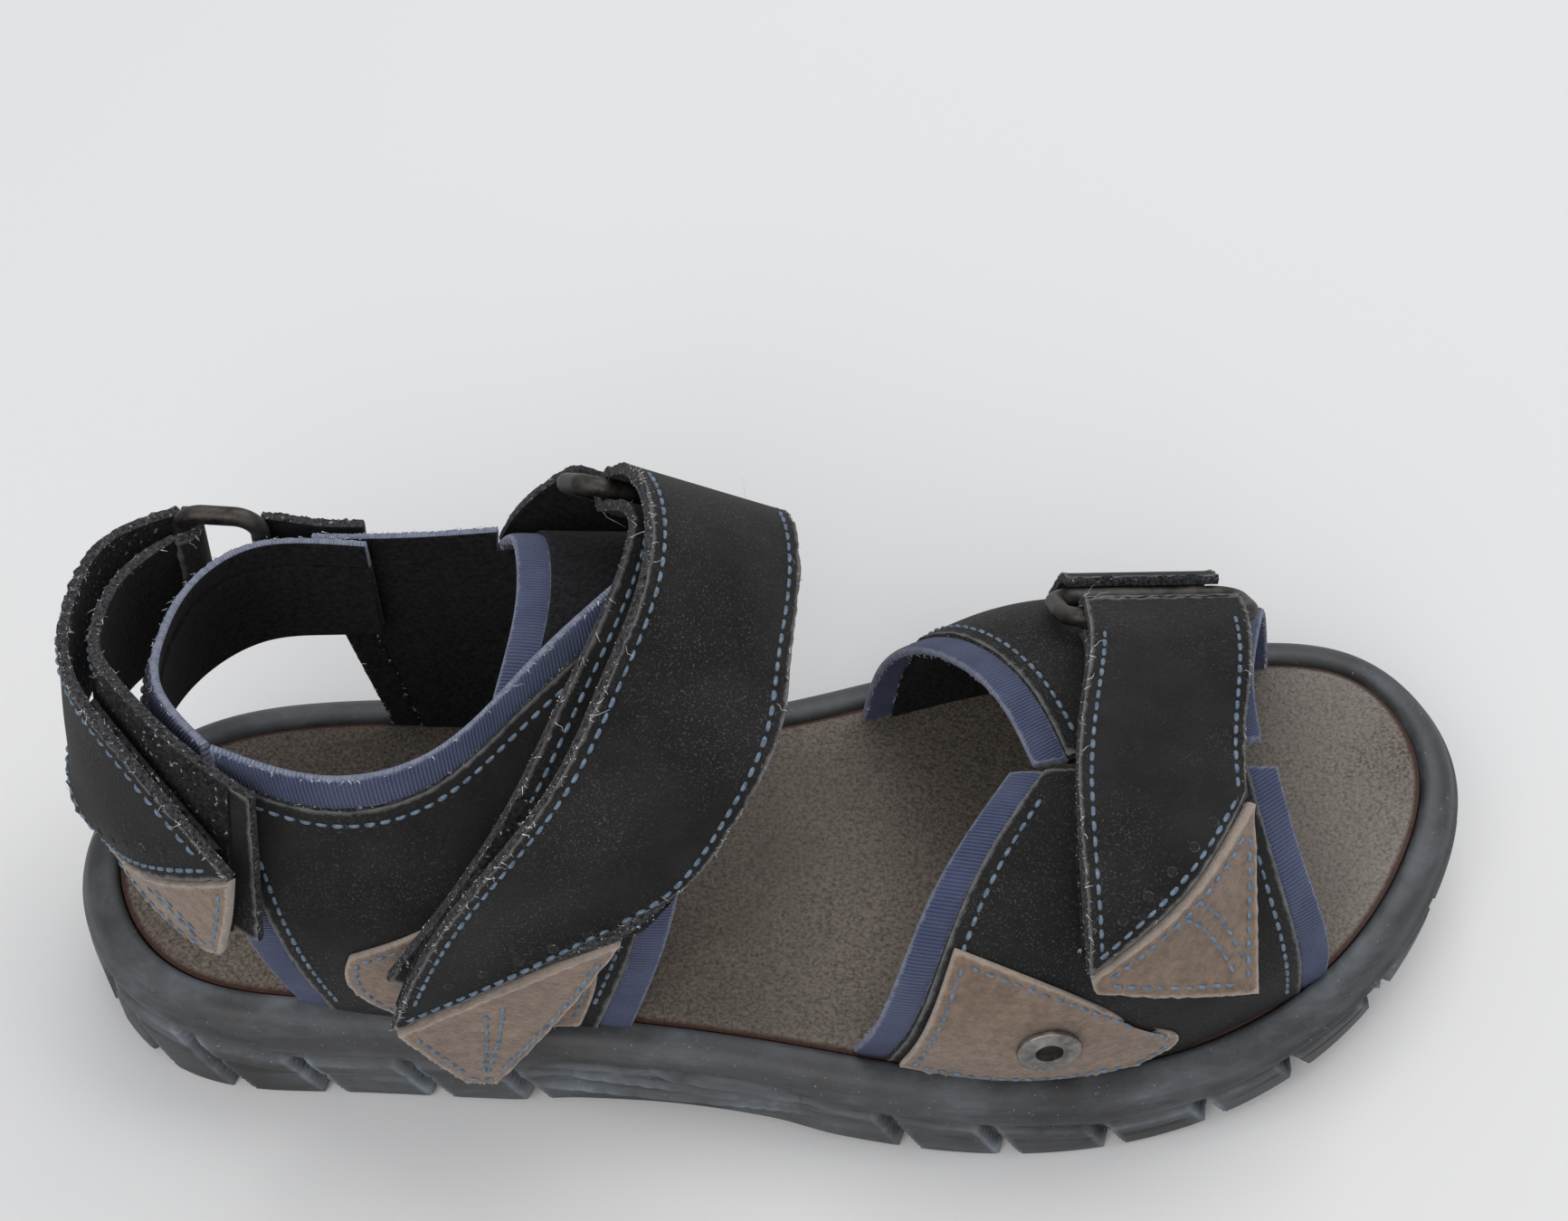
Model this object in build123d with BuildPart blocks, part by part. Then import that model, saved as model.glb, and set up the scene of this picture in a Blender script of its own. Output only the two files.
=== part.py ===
from build123d import *
import os
from math import atan2, degrees

os.makedirs("parts", exist_ok=True)

# Right-foot strappy sport sandal, in millimetres. +X to the toe, +Y to the inner (medial) side, +Z up.
# The origin is the centre of the heel tread on the floor. The outer (lateral) side is -Y.

# ---- overall sizes ----
footbed_length = 280.0      # suede footbed, heel end to toe end
footbed_width = 102.0       # suede footbed across the ball of the foot
upper_height = 124.0        # floor to the top of the instep strap's fold

# ---- sole ----
rim_width = 8.0             # rubber rim outside the footbed
tread_flare = 1.2           # the outsole stands this much outside the rim
heel_stack = 24.0           # floor to footbed under the heel
ball_stack = 18.0           # floor to footbed under the ball
toe_spring = 21.0           # rise of the tread at the tip of the toe
waist_lift = 4.5            # the tread under the arch is this far off the floor
heel_bevel = 4.0            # rise of the tread at the back of the heel
tread_thickness = 6.0       # outsole
toe_thickness = 2.5         # outsole at the tip of the toe
board_thickness = 2.0
foam_thickness = 4.0
cover_thickness = 1.4
shank_width = 22.0
shank_thickness = 1.6
rim_rise = 1.5              # the rim stands this much above the suede
groove_width = 3.2          # grooves between the tread lugs
groove_depth = 3.2
bond = 0.1                  # glue line between the layers of the sole
drop_in = 0.4               # gap round the layers that lie in the rubber cup

# ---- upper ----
nubuck = 1.7                # outer layer
lining = 1.5
suede_patch = 1.2
binding_width = 6.5         # elastic edge binding
binding_thickness = 2.2
ply_gap = 0.2               # between sewn layers
edge_gap = 0.4              # between an edge and its binding
seat_gap = 0.8              # between the upper's lower edge and the rim
flange_gap = 0.3            # under the eyelet's flange

# ---- straps and rings ----
strap_thickness = 2.2
pad_thickness = 1.0         # hook pad or loop pad
instep_strap_width = 36.0
forefoot_strap_width = 33.0
heel_strap_width = 34.0
wire = 4.0                  # diameter of the ring's wire
ring_clearance = 3.0        # the ring is this much wider inside than its strap
ring_opening = 12.0         # inside the ring, between its two bars
wrap_gap = 0.35             # strap round the ring's wire
ring_corner = 5.0           # radius of the ring's corners at the middle of the wire
tab_thickness = 2.0
pad_length = 34.0

# ---- eyelet in the outer forefoot patch ----
eyelet_hole = 5.6
eyelet_outer = 13.0
eyelet_flange = 0.9
eyelet_barrel_wall = 0.5

# Every point of the shape is set out on a sandal of 280 x 102 x 124 and follows the overall sizes.
length_scale = footbed_length / 280
width_scale = footbed_width / 102
height_scale = upper_height / 124


def at(x, y, z=0):
    return Vector(x * length_scale, y * width_scale, z * height_scale)


def spots(*triples):
    return [at(*triple) for triple in triples]


# ======================= sole =======================
footbed_outline = [at(x, y) for x, y in (
    (-36, 3), (-24, -23.5), (9, -32.5), (54, -39), (99, -47.5), (139, -56), (179, -55), (214, -41),
    (236, -17), (244, 6), (234, 32), (214, 40), (179, 44), (139, 40.5), (99, 31), (54, 34), (9, 37.5), (-24, 28.5))]

outline_points = 40
outline_turn = -1            # the outline runs clockwise or not, seen from above

heel_x = -50 * length_scale
toe_x = 262 * length_scale
block_height = 80.0


def tread_line():
    # underside of the tread: bevelled heel, flat under heel and ball, lifted waist, toe spring
    return [(heel_x, heel_bevel + 2), (-30 * length_scale, 0.6), (0, 0), (40 * length_scale, 1),
            (80 * length_scale, waist_lift), (115 * length_scale, 1.4), (145 * length_scale, 0),
            (178 * length_scale, 0.8), (215 * length_scale, 0.36 * toe_spring), (toe_x, toe_spring + 5)]


def footbed_line(lift):
    return [(heel_x, heel_stack + 8 + lift), (-30 * length_scale, heel_stack + 4 + lift),
            (10 * length_scale, heel_stack + lift), (60 * length_scale, heel_stack - 1 + lift),
            (110 * length_scale, ball_stack + 2.5 + lift), (150 * length_scale, ball_stack + lift),
            (185 * length_scale, ball_stack + 0.5 + lift),
            (220 * length_scale, ball_stack + 0.32 * toe_spring + lift),
            (toe_x, ball_stack + 0.85 * toe_spring + lift)]


def footbed_z(x):
    with BuildLine() as line:
        Spline(*footbed_line(0))
    share = (x - heel_x) / (toe_x - heel_x)
    for _ in range(6):
        spot = line.line @ share
        share += (x - spot.X) / (toe_x - heel_x)
    return (line.line @ share).Y


def plan(grow):
    # plan outline of the footbed, grown or shrunk all round
    with BuildLine() as centre_line:
        edge = Spline(*footbed_outline, periodic=True)
    grown = []
    for i in range(outline_points):
        share = i / outline_points
        along = edge % share
        grown.append(edge @ share + Vector(-along.Y, along.X) * grow * outline_turn)
    with BuildSketch() as outline:
        with BuildLine():
            Spline(*grown, periodic=True)
        make_face()
    return outline.sketch


def side(top_points, bottom_points):
    # side view between two long curves, on the XZ plane
    with BuildSketch(Plane.XZ) as profile:
        with BuildLine():
            top = Spline(*top_points)
            bottom = Spline(*bottom_points)
            Line(top @ 0, bottom @ 0)
            Line(top @ 1, bottom @ 1)
        make_face()
    return profile.sketch


def raised(points, lift):
    return [(x, z + lift) for x, z in points]


cover_top = footbed_line(0)
cover_bottom = raised(cover_top, -cover_thickness)
foam_top = raised(cover_bottom, -bond)
foam_bottom = raised(foam_top, -foam_thickness)
board_top = raised(foam_bottom, -bond)
board_bottom = raised(board_top, -board_thickness)
cup_floor = raised(board_bottom, -bond)
rim_top = raised(cover_top, rim_rise)
tread_top = raised(tread_line()[:-1], tread_thickness) + raised(tread_line()[-1:], toe_thickness)
sole_reach = 90 * width_scale

with BuildPart() as footbed_cover:
    extrude(plan(0), amount=block_height)
    extrude(side(cover_top, cover_bottom), amount=sole_reach, both=True, mode=Mode.INTERSECT)

with BuildPart() as footbed_foam:
    extrude(plan(0), amount=block_height)
    extrude(side(foam_top, foam_bottom), amount=sole_reach, both=True, mode=Mode.INTERSECT)

with BuildPart() as insole_board:
    extrude(plan(0), amount=block_height)
    extrude(side(board_top, board_bottom), amount=sole_reach, both=True, mode=Mode.INTERSECT)

# the shank lies in a slot in the rubber, under the board, from the heel seat to the ball
shank_start = 5 * length_scale
shank_end = 115 * length_scale


def shank_blank(extra, lift_low, lift_high):
    with BuildPart() as blank:
        with BuildSketch():
            with Locations(((shank_start + shank_end) / 2, 0)):
                SlotOverall(shank_end - shank_start + 2 * extra, shank_width + 2 * extra)
        extrude(amount=block_height)
        extrude(side(raised(cup_floor, lift_high), raised(cup_floor, lift_low)), amount=sole_reach,
                both=True, mode=Mode.INTERSECT)
    return blank.part


with BuildPart() as shank:
    add(shank_blank(0, -bond - shank_thickness, -bond))

def cup_blank():
    # the hollow in the rubber that holds the board, the foam and the cover
    with BuildPart() as blank:
        extrude(plan(drop_in), amount=block_height)
        extrude(side(raised(cup_floor, block_height), cup_floor), amount=sole_reach, both=True,
                mode=Mode.INTERSECT)
    return blank.part


cup = cup_blank()
shank_slot = shank_blank(bond, -2 * bond - shank_thickness, 1)
with BuildPart() as midsole:
    extrude(plan(rim_width), amount=block_height)
    extrude(side(rim_top, raised(tread_top, bond)), amount=sole_reach, both=True, mode=Mode.INTERSECT)
    add(cup, mode=Mode.SUBTRACT)
    add(shank_slot, mode=Mode.SUBTRACT)

# lugs: slanted grooves cut the lower edge of the outsole and cross the tread, one runs along it
heel_lugs = (-33, -17, 2, 24, 44)
ball_lugs = (118, 138, 160, 182, 202, 222)
tread_floor = raised(tread_line(), groove_depth)


def groove_blank():
    with BuildPart() as blank:
        with BuildSketch():
            for lug_x in heel_lugs + ball_lugs:
                with Locations((lug_x * length_scale, 0)):
                    Rectangle(groove_width, 2 * sole_reach, rotation=8)
            with Locations((5 * length_scale, 3), (170 * length_scale, -6)):
                Rectangle(66 * length_scale, groove_width)
        extrude(amount=block_height)
        extrude(side(tread_floor, raised(tread_line(), -3)), amount=sole_reach, both=True, mode=Mode.INTERSECT)
    return blank.part


grooves = groove_blank()
with BuildPart() as outsole:
    extrude(plan(rim_width + tread_flare), amount=block_height)
    extrude(side(tread_top, tread_line()), amount=sole_reach, both=True, mode=Mode.INTERSECT)
    add(grooves, mode=Mode.SUBTRACT)


# ======================= sheets of the upper =======================
def rail(points, count, first=0.0, last=1.0):
    # evenly spaced points along a smooth line through the given ones
    shares = [first + (last - first) * i / (count - 1) for i in range(count)]
    if len(points) == 2:
        return [points[0] + (points[1] - points[0]) * share for share in shares]
    with BuildLine() as line:
        Spline(*points)
    return [line.line @ share for share in shares]


def sheet_face(rails, lift, first=0.0, last=1.0, count=11, across=5):
    # a surface through long rails, lifted along its own outward normal
    long_rails = [rail(points, count, first, last) for points in rails]
    grid = [rail([points[i] for points in long_rails], across) for i in range(count)]
    lifted = []
    for i in range(count):
        row = []
        for j in range(across):
            along = grid[min(i + 1, count - 1)][j] - grid[max(i - 1, 0)][j]
            over = grid[i][min(j + 1, across - 1)] - grid[i][max(j - 1, 0)]
            row.append(grid[i][j] + along.cross(over).normalized() * lift)
        lifted.append(row)
    return Face.make_surface_from_array_of_points(lifted)


def on_sheet(rails, u, v):
    # the point at share u along the sheet and share v across it
    across_points = [rail(points, 2, u, 1)[0] for points in rails]
    return rail(across_points, 2, v, 1)[0]


def region(rails, rows):
    # rails of a smaller piece that lies on a sheet, from shares along and across it
    return [[on_sheet(rails, u, v) for u, v in row] for row in rows]


def beyond(points, inner, start, stop):
    # two rails outside an edge: the binding's own edges
    near = [p + (p - q).normalized() * start for p, q in zip(points, inner)]
    far = [p + (p - q).normalized() * stop for p, q in zip(points, inner)]
    return near, far


def strap_rails(centre, across, width):
    # the two edges of a strap from its middle line and the direction of its width
    half = width / 2
    first = [c - a.normalized() * half for c, a in zip(centre, across)]
    second = [c + a.normalized() * half for c, a in zip(centre, across)]
    return first, second


def seat(x, y):
    # a point on the seam between footbed and rim, where the upper comes out of the sole
    return Vector(x * length_scale, y * width_scale, footbed_z(x * length_scale) + rim_rise + seat_gap)


shell_lift = ply_gap / 2 + nubuck / 2
lining_lift = -ply_gap / 2 - lining / 2
patch_gap = 0.7             # a patch lies this far off the curved sheet under it
patch_lift = ply_gap / 2 + nubuck + patch_gap + suede_patch / 2
binding_lift = (nubuck - lining) / 2

# ---- outer quarter ----
outer_quarter_low = [seat(11, -34), seat(24, -36.5), seat(37, -38), seat(50, -40), seat(63, -42)]
outer_quarter_mid = spots((4, -35.5, 57), (19, -37.5, 57), (34, -38.5, 59), (53, -37, 64), (77, -33, 74))
outer_quarter_top = spots((-1, -25, 93), (18, -28.5, 86), (36, -27.5, 89), (56, -19, 103), (75, -4, 108))
outer_quarter = [outer_quarter_low, outer_quarter_mid, outer_quarter_top]
outer_quarter_face = sheet_face(outer_quarter, shell_lift)
outer_quarter_lining_face = sheet_face(outer_quarter, lining_lift)
with BuildPart() as lateral_quarter:
    thicken(outer_quarter_face, amount=nubuck / 2, both=True)
with BuildPart() as lateral_quarter_lining:
    thicken(outer_quarter_lining_face, amount=lining / 2, both=True)

outer_collar = beyond(outer_quarter_top, outer_quarter_mid, edge_gap, edge_gap + binding_width)
outer_collar_face = sheet_face(outer_collar, binding_lift)
with BuildPart() as lateral_collar_binding:
    thicken(outer_collar_face, amount=binding_thickness / 2, both=True)

outer_rear_edge = [points[0] for points in outer_quarter]
outer_rear_next = [points[1] for points in outer_quarter]
outer_rear = beyond(outer_rear_edge, outer_rear_next, edge_gap, edge_gap + binding_width)
outer_rear_face = sheet_face((outer_rear[1], outer_rear[0]), -binding_lift, last=0.6)
with BuildPart() as lateral_rear_binding:
    thicken(outer_rear_face, amount=binding_thickness / 2, both=True)

outer_front_edge = [points[-1] for points in outer_quarter]
outer_front_next = [points[-2] for points in outer_quarter]
outer_front = beyond(outer_front_edge, outer_front_next, edge_gap, edge_gap + binding_width)
outer_front_face = sheet_face((outer_front[0], outer_front[1]), -binding_lift)
with BuildPart() as lateral_front_binding:
    thicken(outer_front_face, amount=binding_thickness / 2, both=True)


# ---- brown patch sewn on the outer quarter, under the end of the instep strap ----
outer_patch = region(outer_quarter, [[(0.22, 0.1), (0.5, 0.06), (0.92, 0.06)],
                                     [(0.14, 0.28), (0.45, 0.3), (0.85, 0.3)],
                                     [(0.14, 0.42), (0.32, 0.5), (0.55, 0.52)]])
outer_patch_face = sheet_face(outer_patch, patch_lift)
with BuildPart() as lateral_suede_patch:
    thicken(outer_patch_face, amount=suede_patch / 2, both=True)

# ---- heel band, from the inner side round the back to the outer quarter ----
band_low = spots((11, 39.5, 58), (-3, 38, 57), (-18, 29, 55), (-25.5, 9, 56), (-21, -14, 61), (-6, -31, 66))
band_top = spots((11, 39, 80), (0, 36.5, 81), (-11, 27, 84), (-16.5, 8, 88), (-14, -10, 92), (-4, -23, 91))
band_face = sheet_face([band_low, band_top], shell_lift)
band_lining_face = sheet_face([band_low, band_top], lining_lift)
with BuildPart() as heel_band:
    thicken(band_face, amount=nubuck / 2, both=True)
with BuildPart() as heel_band_lining:
    thicken(band_lining_face, amount=lining / 2, both=True)

band_collar = beyond(band_top, band_low, edge_gap, edge_gap + binding_width)
band_collar_face = sheet_face(band_collar, binding_lift)
with BuildPart() as heel_collar_binding:
    thicken(band_collar_face, amount=binding_thickness / 2, both=True)

# ---- inner quarter, with the lower rear edge of its arch ----
inner_quarter_low = [seat(80, 31.5), seat(66, 33), seat(52, 34.5), seat(38, 36), seat(27, 37)]
inner_quarter_mid = spots((78, 36, 56), (62, 39, 56), (46, 40.5, 56), (32, 40.5, 56), (20, 40, 55))
inner_quarter_top = spots((84, 35, 82), (66, 38, 81), (48, 39.5, 78), (31, 40, 77), (13, 39.5, 79))
inner_quarter = [inner_quarter_low, inner_quarter_mid, inner_quarter_top]
inner_quarter_face = sheet_face(inner_quarter, shell_lift)
inner_quarter_lining_face = sheet_face(inner_quarter, lining_lift)
with BuildPart() as medial_quarter:
    thicken(inner_quarter_face, amount=nubuck / 2, both=True)
with BuildPart() as medial_quarter_lining:
    thicken(inner_quarter_lining_face, amount=lining / 2, both=True)

inner_collar = beyond(inner_quarter_top[2:], inner_quarter_mid[2:], edge_gap, edge_gap + binding_width)
inner_collar_face = sheet_face(inner_collar, binding_lift)
with BuildPart() as medial_collar_binding:
    thicken(inner_collar_face, amount=binding_thickness / 2, both=True)

inner_front_edge = [points[0] for points in inner_quarter]
inner_front_next = [points[1] for points in inner_quarter]
inner_front = beyond(inner_front_edge, inner_front_next, edge_gap, edge_gap + binding_width)
inner_front_face = sheet_face((inner_front[1], inner_front[0]), -binding_lift)
with BuildPart() as medial_front_binding:
    thicken(inner_front_face, amount=binding_thickness / 2, both=True)

inner_rear_edge = [points[-1] for points in inner_quarter[:2]]
inner_rear_next = [points[-2] for points in inner_quarter[:2]]
inner_rear = beyond(inner_rear_edge, inner_rear_next, edge_gap, edge_gap + binding_width)
inner_rear_face = sheet_face((inner_rear[0], inner_rear[1]), -binding_lift)
with BuildPart() as medial_rear_binding:
    thicken(inner_rear_face, amount=binding_thickness / 2, both=True)

# ---- throat panel over the instep, its rear edge closes the ankle opening ----
throat_rear = spots((55.5, 38.8, 80.6), (59, 31, 90), (60.5, 15, 94.5), (59, 0, 96.5), (56, -12, 95))
throat_front = spots((84, 35.2, 83.2), (88, 27, 91), (90, 12, 95.5), (89, 0, 97), (86, -10, 95))
throat_face = sheet_face([throat_rear, throat_front], -shell_lift)
throat_lining_face = sheet_face([throat_rear, throat_front], -lining_lift)
with BuildPart() as throat_panel:
    thicken(throat_face, amount=nubuck / 2, both=True)
with BuildPart() as throat_panel_lining:
    thicken(throat_lining_face, amount=lining / 2, both=True)

throat_edge = beyond(throat_rear, throat_front, edge_gap, edge_gap + binding_width)
throat_edge_face = sheet_face(throat_edge, binding_lift)
with BuildPart() as throat_binding:
    thicken(throat_edge_face, amount=binding_thickness / 2, both=True)


# ======================= forefoot =======================
# ---- outer forefoot ----
outer_vamp = [[seat(122, -51), seat(143, -55.5), seat(165, -55.5), seat(188, -50.5), seat(208, -43)],
              spots((127, -53.5, 37), (146, -56, 37), (165, -56, 37), (184, -52, 38), (204, -44.5, 42)),
              spots((137, -42, 62), (151, -44, 64), (166, -44, 64), (182, -41, 62), (198, -36, 59)),
              spots((155, -19, 69), (165, -20, 69.7), (175, -20, 69.7), (185, -19.5, 68.8), (195, -19, 67))]
outer_vamp_face = sheet_face(outer_vamp, shell_lift, across=9)
outer_vamp_lining_face = sheet_face(outer_vamp, lining_lift, across=9)

outer_vamp_rear = beyond([points[0] for points in outer_vamp], [points[1] for points in outer_vamp],
                         edge_gap, edge_gap + binding_width)
outer_vamp_rear_face = sheet_face((outer_vamp_rear[1], outer_vamp_rear[0]), -binding_lift)
with BuildPart() as lateral_vamp_rear_binding:
    thicken(outer_vamp_rear_face, amount=binding_thickness / 2, both=True)

outer_vamp_front = beyond([points[-1] for points in outer_vamp], [points[-2] for points in outer_vamp],
                          edge_gap, edge_gap + binding_width)
outer_vamp_front_face = sheet_face(outer_vamp_front, -binding_lift)
with BuildPart() as lateral_vamp_front_binding:
    thicken(outer_vamp_front_face, amount=binding_thickness / 2, both=True)

# ---- inner forefoot ----
inner_vamp = [[seat(212, 39), seat(192, 42), seat(170, 42.5), seat(150, 40), seat(132, 35.5)],
              spots((208, 39.5, 43), (188, 43, 40), (170, 44, 40), (153, 42, 40), (136, 35, 41)),
              spots((202, 26, 55.5), (186, 30, 56.5), (170, 31, 57.5), (156, 28, 58.5), (146, 22, 59.5)),
              spots((196, 7, 62.5), (185, 9, 64), (174, 9, 65), (164, 8, 66), (155, 5, 66)),
              spots((194, -9, 65), (185, -9, 67), (176, -9, 68), (168, -9, 68), (161, -9, 67.5))]
inner_vamp_face = sheet_face(inner_vamp, shell_lift, across=9)
inner_vamp_lining_face = sheet_face(inner_vamp, lining_lift, across=9)
with BuildPart() as medial_vamp:
    thicken(inner_vamp_face, amount=nubuck / 2, both=True)
with BuildPart() as medial_vamp_lining:
    thicken(inner_vamp_lining_face, amount=lining / 2, both=True)

inner_vamp_rear = beyond([points[-1] for points in inner_vamp], [points[-2] for points in inner_vamp],
                         edge_gap, edge_gap + binding_width)
inner_vamp_rear_face = sheet_face(inner_vamp_rear, -binding_lift)
with BuildPart() as medial_vamp_rear_binding:
    thicken(inner_vamp_rear_face, amount=binding_thickness / 2, both=True)

inner_vamp_front = beyond([points[0] for points in inner_vamp], [points[1] for points in inner_vamp],
                          edge_gap, edge_gap + binding_width)
inner_vamp_front_face = sheet_face((inner_vamp_front[1], inner_vamp_front[0]), -binding_lift)
with BuildPart() as medial_vamp_front_binding:
    thicken(inner_vamp_front_face, amount=binding_thickness / 2, both=True)


# ======================= eyelet patch =======================
front_patch = region(outer_vamp, [[(0.03, 0.05), (0.3, 0.03), (0.6, 0.03)],
                                  [(0.03, 0.22), (0.3, 0.2), (0.64, 0.12)],
                                  [(0.03, 0.42), (0.3, 0.34), (0.6, 0.24)]])
front_patch_face = sheet_face(front_patch, patch_lift)
eyelet_spot = on_sheet(front_patch, 0.48, 0.5)
eyelet_along = on_sheet(front_patch, 0.6, 0.5) - on_sheet(front_patch, 0.4, 0.5)
eyelet_over = on_sheet(front_patch, 0.48, 0.7) - on_sheet(front_patch, 0.48, 0.3)
eyelet_plane = Plane(origin=eyelet_spot, x_dir=eyelet_along, z_dir=eyelet_along.cross(eyelet_over))
barrel = eyelet_hole / 2 + eyelet_barrel_wall
punched = barrel + ply_gap
flange_seat = patch_lift + suede_patch / 2 + flange_gap
reach_out = flange_seat + 0.7
reach_in = lining + ply_gap + 1.2


with BuildPart() as eyelet_patch:
    thicken(front_patch_face, amount=suede_patch / 2, both=True)
    with BuildSketch(eyelet_plane.offset(-reach_in)):
        Circle(punched)
    extrude(amount=reach_out + reach_in, mode=Mode.SUBTRACT)

with BuildPart() as lateral_vamp:
    thicken(outer_vamp_face, amount=nubuck / 2, both=True)
    with BuildSketch(eyelet_plane.offset(-reach_in)):
        Circle(punched)
    extrude(amount=reach_out + reach_in, mode=Mode.SUBTRACT)

with BuildPart() as lateral_vamp_lining:
    thicken(outer_vamp_lining_face, amount=lining / 2, both=True)
    with BuildSketch(eyelet_plane.offset(-reach_in)):
        Circle(punched)
    extrude(amount=reach_out + reach_in, mode=Mode.SUBTRACT)

# the barrel goes through all plies: its flange lies on the patch, the washer closes it inside
washer_seat = -reach_in + 0.6
with BuildPart() as eyelet:
    with BuildSketch(eyelet_plane.offset(flange_seat)):
        Circle(eyelet_outer / 2)
        Circle(eyelet_hole / 2, mode=Mode.SUBTRACT)
    extrude(amount=eyelet_flange)
    with BuildSketch(eyelet_plane.offset(washer_seat - eyelet_flange)):
        Circle(barrel)
        Circle(eyelet_hole / 2, mode=Mode.SUBTRACT)
    extrude(amount=flange_seat - washer_seat + eyelet_flange)
    fillet(eyelet.faces().sort_by(Axis(eyelet_plane.origin, eyelet_plane.z_dir))[-1].outer_wire().edges(),
           radius=eyelet_flange * 0.45)

with BuildPart() as eyelet_washer:
    with BuildSketch(eyelet_plane.offset(washer_seat - eyelet_flange)):
        Circle(eyelet_outer / 2 - 1)
        Circle(barrel + 0.05, mode=Mode.SUBTRACT)
    extrude(amount=eyelet_flange)


# ======================= straps, folds and rings =======================
ring_pitch = ring_opening + wire
wrap_inner = wire / 2 + wrap_gap
wrap_middle = wrap_inner + strap_thickness / 2
pad_lift = strap_thickness / 2 + ply_gap + pad_thickness / 2
tab_wrap = wire / 2 + wrap_gap
far_side = 100.0             # larger than any fold


def ring_plane(bar_centre, across, reach):
    # frame of a ring: origin on the strap's bar, X along the bar, Y away from the tab, Z out from the foot
    back = -across
    return Plane(origin=bar_centre, x_dir=back, z_dir=back.cross(reach))


def ring_blank(plane, strap_width):
    # a rounded rectangle of wire
    inside = strap_width + ring_clearance
    with BuildSketch(plane) as outline:
        with Locations((0, -ring_pitch / 2)):
            RectangleRounded(inside + wire, ring_pitch, ring_corner)
    path = outline.sketch.face().outer_wire()
    with BuildPart() as blank:
        with BuildSketch(Plane(origin=path @ 0, z_dir=path % 0)):
            Circle(wire / 2)
        sweep(path=path)
    return blank.part


def fold_blank(plane, strap_width):
    # the strap's turn round the bar, on the side of the tab
    end = plane.origin - plane.x_dir * (strap_width / 2)
    with BuildPart() as blank:
        with BuildSketch(Plane(origin=end, x_dir=plane.y_dir, z_dir=plane.x_dir)):
            Circle(wrap_inner + strap_thickness)
            Circle(wrap_inner, mode=Mode.SUBTRACT)
            with Locations((far_side / 2, 0)):
                Rectangle(far_side, far_side, mode=Mode.SUBTRACT)
        extrude(amount=strap_width)
    return blank.part


def by_bar(plane, out, away):
    # a point beside the bar, out from the foot and away from the tab
    return plane.origin + plane.z_dir * out + plane.y_dir * away


# ---- instep strap ----
instep_across = Vector(0.87, 0.05, -0.48)
instep_ring_plane = ring_plane(at(87.5, 29, 99), instep_across, Vector(0.5, -0.64, 0.57))
instep_base_centre = spots((41, -46, 46), (54, -45, 68), (68, -38, 89), (79, -24.5, 103.5), (88.5, -8, 112),
                           (92.5, 9, 111.5)) + [by_bar(instep_ring_plane, -wrap_middle, 1)]
instep_base = strap_rails(instep_base_centre, [instep_across] * 7, instep_strap_width)[::-1]
instep_base_face = sheet_face(instep_base, 0, count=15)
instep_loop_face = sheet_face(instep_base, pad_lift, first=0.05, last=0.4)
with BuildPart() as instep_base_strap:
    thicken(instep_base_face, amount=strap_thickness / 2, both=True)
with BuildPart() as instep_loop_pad:
    thicken(instep_loop_face, amount=pad_thickness / 2, both=True)

instep_flap_centre = [by_bar(instep_ring_plane, wrap_middle, 1)] + spots(
    (92.5, 14.5, 117), (93.5, -1, 121), (91.5, -16, 119.5), (86.5, -30, 113.5), (78, -40.5, 101.5), (66, -47.5, 86.5),
    (54, -51, 70))
instep_flap_across = [instep_across] * 2 + [Vector(0.75, 0.05, -0.6)] * 2 + [instep_across] * 4
instep_seam_rear = at(25, -52.3, 45)
instep_seam_front = at(70, -52.3, 73)
instep_flap_rear, instep_flap_front = strap_rails(instep_flap_centre, instep_flap_across, instep_strap_width)
instep_flap_rails = (instep_flap_rear + [instep_seam_rear], instep_flap_front[:-1] + [instep_seam_front])
instep_flap_face = sheet_face(instep_flap_rails, 0, count=17)
instep_hook_face = sheet_face(instep_flap_rails, -pad_lift, first=0.7, last=0.97)
with BuildPart() as instep_flap:
    thicken(instep_flap_face, amount=strap_thickness / 2, both=True)
with BuildPart() as instep_hook_pad:
    thicken(instep_hook_face, amount=pad_thickness / 2, both=True)

instep_tip_rails = (spots((26, -52.6, 43.4), (31, -52.6, 34), (37, -52, 22)),
                    spots((70.4, -52.6, 71.4), (58, -52.6, 47), (43, -52, 21)))
instep_tip_face = sheet_face(instep_tip_rails, 0)
with BuildPart() as instep_flap_tip:
    thicken(instep_tip_face, amount=strap_thickness / 2, both=True)
with BuildPart() as instep_ring:
    add(ring_blank(instep_ring_plane, instep_strap_width))
with BuildPart() as instep_fold:
    add(fold_blank(instep_ring_plane, instep_strap_width))


def tab_rails(plane, strap_width, seats):
    # the tab passes over the ring's other bar on its outer side and is sewn down on the sheet below
    over = tab_wrap + tab_thickness / 2
    middle = [by_bar(plane, over, -ring_pitch), by_bar(plane, over, -ring_pitch - wire / 2)] + seats
    half = plane.x_dir * (strap_width / 2)
    return [[spot - half for spot in middle], [spot + half for spot in middle]]


instep_tab = tab_rails(instep_ring_plane, instep_strap_width, spots((70, 45.5, 78), (64, 47, 66)))
instep_tab_face = sheet_face(instep_tab, 0)
with BuildPart() as instep_ring_tab:
    thicken(instep_tab_face, amount=tab_thickness / 2, both=True)

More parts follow.
